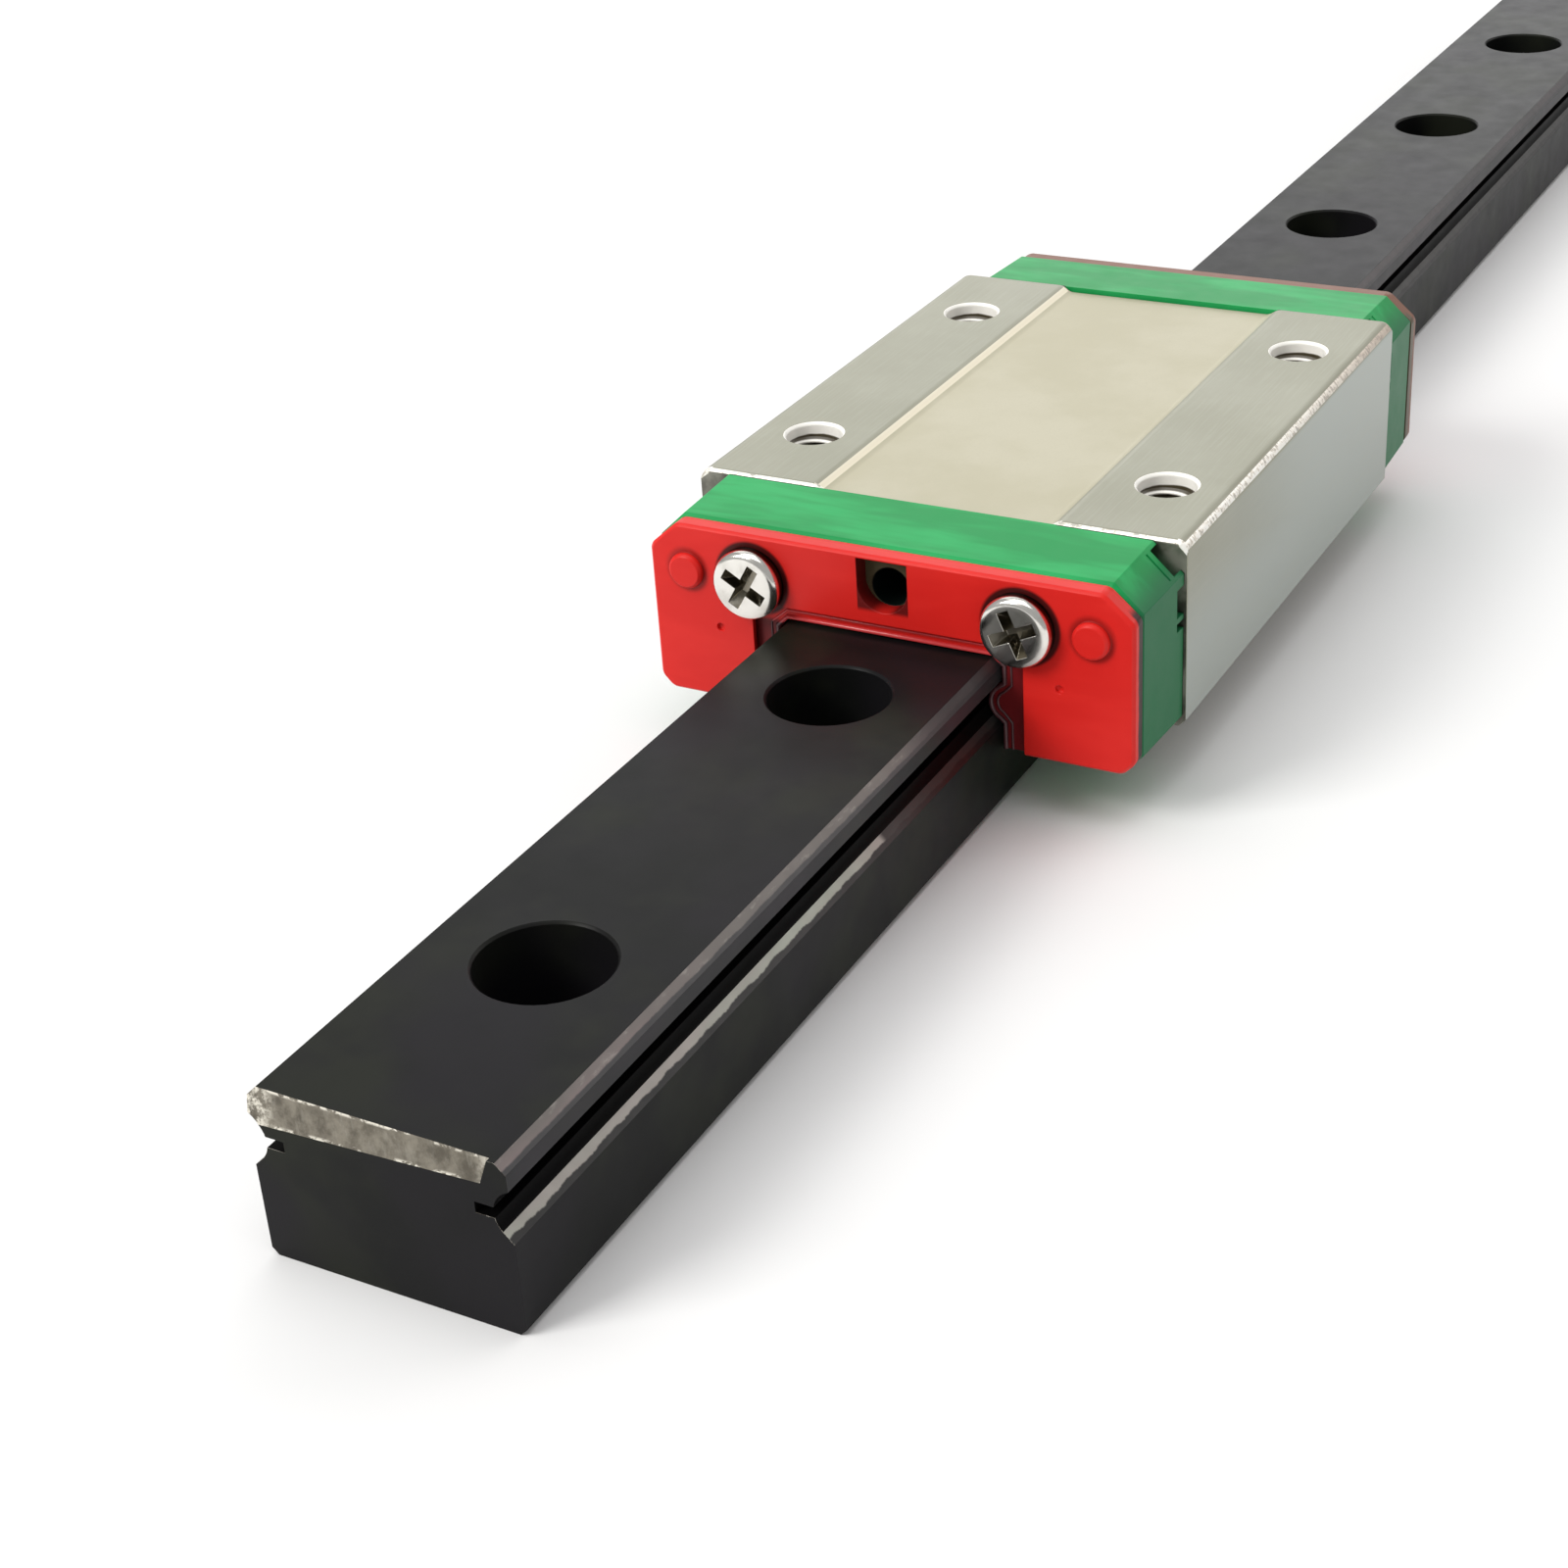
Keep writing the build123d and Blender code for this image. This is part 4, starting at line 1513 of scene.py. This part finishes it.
@dataclass
class CapScrew:
    """One pan-head screw with a cross recess.

    The dome is the head's profile, in shares of its radius and its height.
    """

    finishes: Finishes
    end: Side
    hand: Hand
    turned: float
    head_radius: float = 1.85 * MM
    head_height: float = 0.95 * MM
    shank_radius: float = 0.9 * MM
    recess_length: float = 2.65 * MM
    recess_width: float = 0.66 * MM
    recess_depth: float = 0.8 * MM
    recess_taper: float = 0.5
    recess_above: float = 0.1 * MM
    point_length: float = 0.3 * MM
    edge_rounding: float = 0.035 * MM
    smooth_below: float = 38.0
    steps: int = 72
    dome: tuple[tuple[float, float], ...] = (
        (0.60, 0.995),
        (0.80, 0.975),
        (0.89, 0.93),
        (0.95, 0.84),
        (0.985, 0.70),
        (1.0, 0.52),
        (1.0, 0.08),
        (0.965, 0.0),
    )

    def build(self) -> None:
        """Make the screw."""
        node = f"cap_screw_{self.end.word}_{self.hand.word}"
        low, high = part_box(node)
        seat_x = high[0] - self.head_height if self.end is Side.REAR else low[0] + self.head_height
        length = high[0] - low[0] - self.head_height
        name = f"screw_{self.end.word}_{self.hand.word}"
        body = self.turned_body(name, length)
        cutter = self.cross(name + "_cutter")
        cut = body.modifiers.new("cross_recess", "BOOLEAN")
        cut.operation = "DIFFERENCE"
        cut.solver = "EXACT"
        cut.object = cutter
        bpy.context.view_layer.update()
        screw_mesh = bpy.data.meshes.new_from_object(
            body.evaluated_get(bpy.context.evaluated_depsgraph_get())
        )
        bpy.data.objects.remove(cutter)
        bpy.data.objects.remove(body)
        middle = Vector((seat_x, (low[1] + high[1]) / 2, (low[2] + high[2]) / 2))
        outwards = Vector((self.end.value, 0, 0)).to_track_quat("Z", "Y").to_matrix().to_4x4()
        turn = Matrix.Rotation(math.radians(self.turned), 4, "Z")
        bm = bmesh.new()
        bm.from_mesh(screw_mesh)
        bmesh.ops.transform(bm, matrix=Matrix.Translation(middle) @ outwards @ turn, verts=bm.verts)
        bmesh.ops.remove_doubles(bm, verts=bm.verts, dist=FINE_MERGE_DISTANCE)
        bmesh.ops.recalc_face_normals(bm, faces=bm.faces)
        screw = finish_mesh(bm, name, self.smooth_below)
        rounding = screw.modifiers.new("burnished_edges", "BEVEL")
        rounding.width = self.edge_rounding
        rounding.segments = 2
        rounding.limit_method = "ANGLE"
        rounding.angle_limit = math.radians(self.smooth_below)
        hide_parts(node)
        dress(screw, "carriage", Slot.SCREW_STEEL, self.finishes.head, self.finishes.grimy)
        paint(screw, lambda polygon: self.finish_of(polygon, middle))

    def finish_of(self, polygon: Facet, middle: Vector) -> ScrewFinish:
        """The finish of one face, which is painted darker as shade inside the cross recess.

        Args:
            polygon: The face.
            middle: The middle of the head's seat.

        Returns:
            Its finish.
        """
        from_middle = polygon.center - middle
        height = from_middle.x * self.end.value
        spread = math.hypot(from_middle.y, from_middle.z)
        within = 0.05 * MM < height < 0.93 * self.head_height and spread < 0.75 * self.head_radius
        return ScrewFinish.GRIMY if within else ScrewFinish.PLATED

    def turned_body(self, name: str, length: float) -> Piece:
        """The head and shank, turned about Z with the seat on Z = 0.

        Args:
            name: The object's name.
            length: The shank's length.

        Returns:
            The solid.
        """
        radius, height = self.head_radius, self.head_height
        outline = (
            (0, height),
            *((r * radius, z * height) for r, z in self.dome),
            (self.shank_radius, 0),
            (self.shank_radius, -length + self.point_length),
            (0.7 * self.shank_radius, -length),
            (0, -length),
        )
        bm = bmesh.new()
        verts = [bm.verts.new((r, 0, z)) for r, z in outline]
        edges = [bm.edges.new(pair) for pair in zip(verts, verts[1:])]
        bmesh.ops.spin(
            bm,
            geom=verts + edges,
            cent=(0, 0, 0),
            axis=(0, 0, 1),
            angle=2 * math.pi,
            steps=self.steps,
            use_merge=True,
        )
        bmesh.ops.remove_doubles(bm, verts=bm.verts, dist=FINE_MERGE_DISTANCE)
        bmesh.ops.recalc_face_normals(bm, faces=bm.faces)
        return finish_mesh(bm, name)

    def cross(self, name: str) -> Piece:
        """The tapering cross that is cut out of the head.

        Args:
            name: The object's name.

        Returns:
            The cutter.
        """
        bm = bmesh.new()
        bmesh.ops.create_grid(bm, x_segments=3, y_segments=3, size=1.0)
        for vert in bm.verts:
            for axis in (0, 1):
                half = self.recess_length / 2 if abs(vert.co[axis]) > 0.5 else self.recess_width / 2
                vert.co[axis] = math.copysign(half, vert.co[axis])
            vert.co.z = self.head_height + self.recess_above
        reach = self.recess_width / 2
        corners = [f for f in bm.faces if all(abs(v) > reach for v in f.calc_center_median()[:2])]
        bmesh.ops.delete(bm, geom=corners, context="FACES")
        sunk = bmesh.ops.extrude_face_region(bm, geom=bm.faces[:])
        floor = [item for item in sunk["geom"] if isinstance(item, bmesh.types.BMVert)]
        bmesh.ops.translate(bm, verts=floor, vec=(0, 0, -self.recess_depth - self.recess_above))
        bmesh.ops.scale(bm, verts=floor, vec=(self.recess_taper, self.recess_taper, 1))
        bmesh.ops.recalc_face_normals(bm, faces=bm.faces)
        return finish_mesh(bm, name)


@dataclass
class BallRow:
    """The loaded balls of one side, as true spheres."""

    finishes: Finishes
    hand: Hand
    ball_radius: float = 1.1905 * MM
    gap: float = 0.06 * MM

    def build(self) -> None:
        """Make the row."""
        node = f"ball_row_{self.hand.word}"
        low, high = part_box(node)
        pitch = 2 * self.ball_radius + self.gap
        count = round((high[0] - low[0]) / pitch)
        middle = [(a + b) / 2 for a, b in zip(low, high)]
        bm = bmesh.new()
        for index in range(count):
            x = middle[0] + (index - (count - 1) / 2) * pitch
            bmesh.ops.create_icosphere(
                bm,
                subdivisions=3,
                radius=self.ball_radius,
                matrix=Matrix.Translation((x, middle[1], middle[2])),
            )
        row = finish_mesh(bm, f"balls_{self.hand.word}")
        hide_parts(node)
        dress(row, "carriage", Slot.BALL_STEEL, self.finishes.polished)


@dataclass
class Carriage:
    """The whole carriage: steel, caps, seals, screws, balls and wires.

    The screws' crosses stand at the given turns, in degrees.
    """

    finishes: Finishes
    left_turned: float = 60.0
    right_turned: float = 24.0

    def build(self) -> None:
        """Make every piece of the carriage."""
        SteelBlock(self.finishes).build()
        for end in Side:
            EndCap(self.finishes, end).build()
            EndSeal(self.finishes, end).build()
            CapScrew(self.finishes, end, Hand.LEFT, self.left_turned).build()
            CapScrew(self.finishes, end, Hand.RIGHT, self.right_turned).build()
        for hand in Hand:
            BallRow(self.finishes, hand).build()
            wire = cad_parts[f"retainer_wire_{hand.word}"]
            wire.data.materials.clear()
            wire.data.materials.append(self.finishes.bright)
            log.info("%s keeps its CAD mesh", wire.name)


@dataclass(frozen=True)
class Softbox:
    """A rectangular studio light that points at the carriage."""

    name: str
    place: Point
    size: tuple[float, float]
    power: float
    colour: Colour = (1.0, 1.0, 1.0)
    aim: Point = (-0.06, 0.0, 0.005)

    def build(self) -> None:
        """Make the light."""
        data = bpy.data.lights.new(self.name, "AREA")
        data.shape = "RECTANGLE"
        data.size, data.size_y = self.size
        data.energy = self.power
        data.color = self.colour
        light = bpy.data.objects.new(self.name, data)
        light.location = self.place
        light.rotation_euler = (Vector(self.aim) - Vector(self.place)).to_track_quat("-Z", "Y").to_euler()
        light.visible_camera = False
        bpy.context.scene.collection.objects.link(light)


@dataclass
class Viewpoint:
    """The photograph's camera."""

    aim: Point = (-71.42 * MM, -2.10 * MM, 8.0 * MM)
    distance: float = 119.22 * MM
    azimuth: float = 30.216
    down: float = 29.338
    roll: float = -3.937
    lens: float = 61.154

    def build(self) -> None:
        """Make the camera."""
        azimuth, down, roll = (math.radians(v) for v in (self.azimuth, self.down, self.roll))
        level_share = math.cos(down)
        forward = Vector((level_share * math.cos(azimuth), level_share * math.sin(azimuth), -math.sin(down)))
        level = forward.cross(Vector((0, 0, 1))).normalized()
        upright = level.cross(forward)
        right = level * math.cos(roll) + upright * math.sin(roll)
        up = right.cross(forward)
        data = bpy.data.cameras.new("photo_camera")
        data.lens = self.lens
        data.clip_start = 0.005
        data.clip_end = 20.0
        camera = bpy.data.objects.new("photo_camera", data)
        turn = Matrix((right, up, -forward)).transposed().to_4x4()
        camera.matrix_world = Matrix.Translation(Vector(self.aim) - forward * self.distance) @ turn
        bpy.context.scene.collection.objects.link(camera)
        bpy.context.scene.camera = camera


@dataclass
class Studio:
    """The pale floor, the soft light and the camera."""

    floor_half: float = 4.0
    floor_drop: float = 0.02 * MM
    floor_colour: Colour = (0.88, 0.88, 0.88)
    world_light: float = 0.42
    lights: tuple[Softbox, ...] = (
        Softbox("overhead", (-0.10, 0.05, 0.80), (0.7, 0.7), 2.6),
        Softbox("key", (-0.60, 0.40, 0.52), (0.34, 0.34), 4.4, (1.0, 0.985, 0.96)),
        Softbox("behind", (0.62, 0.36, 0.50), (0.9, 0.7), 1.5),
        Softbox("low_behind", (1.35, 0.45, 0.36), (1.2, 0.4), 2.0),
        Softbox("edge_light", (0.32, -0.27, 0.25), (0.3, 0.25), 0.4, (1.0, 0.95, 0.93)),
    )

    def build(self) -> None:
        """Make the studio."""
        bm = bmesh.new()
        bmesh.ops.create_grid(bm, x_segments=1, y_segments=1, size=self.floor_half)
        bmesh.ops.translate(bm, verts=bm.verts, vec=(0, 0, -self.floor_drop))
        floor = finish_mesh(bm, "floor")
        graph = Graph("pale_floor")
        graph.set(Base_Color=self.floor_colour, Roughness=0.9, Specular_IOR_Level=0.1)
        floor.data.materials.append(graph.material)
        world = bpy.data.worlds.new("soft_white_room")
        world.use_nodes = True
        background = world.node_tree.nodes["Background"]
        background.inputs["Color"].default_value = (1.0, 1.0, 1.0, 1.0)
        background.inputs["Strength"].default_value = self.world_light
        bpy.context.scene.world = world
        for light in self.lights:
            light.build()
        bpy.context.scene.view_settings.view_transform = "Standard"
        Viewpoint().build()
        log.info("studio ready")


def main() -> None:
    """Build the guide and its studio."""
    logging.basicConfig(level=logging.INFO, format="%(name)s: %(message)s")
    finishes = Finishes()
    Rail(finishes).build()
    Carriage(finishes).build()
    Studio().build()


if __name__ == "__main__":
    main()
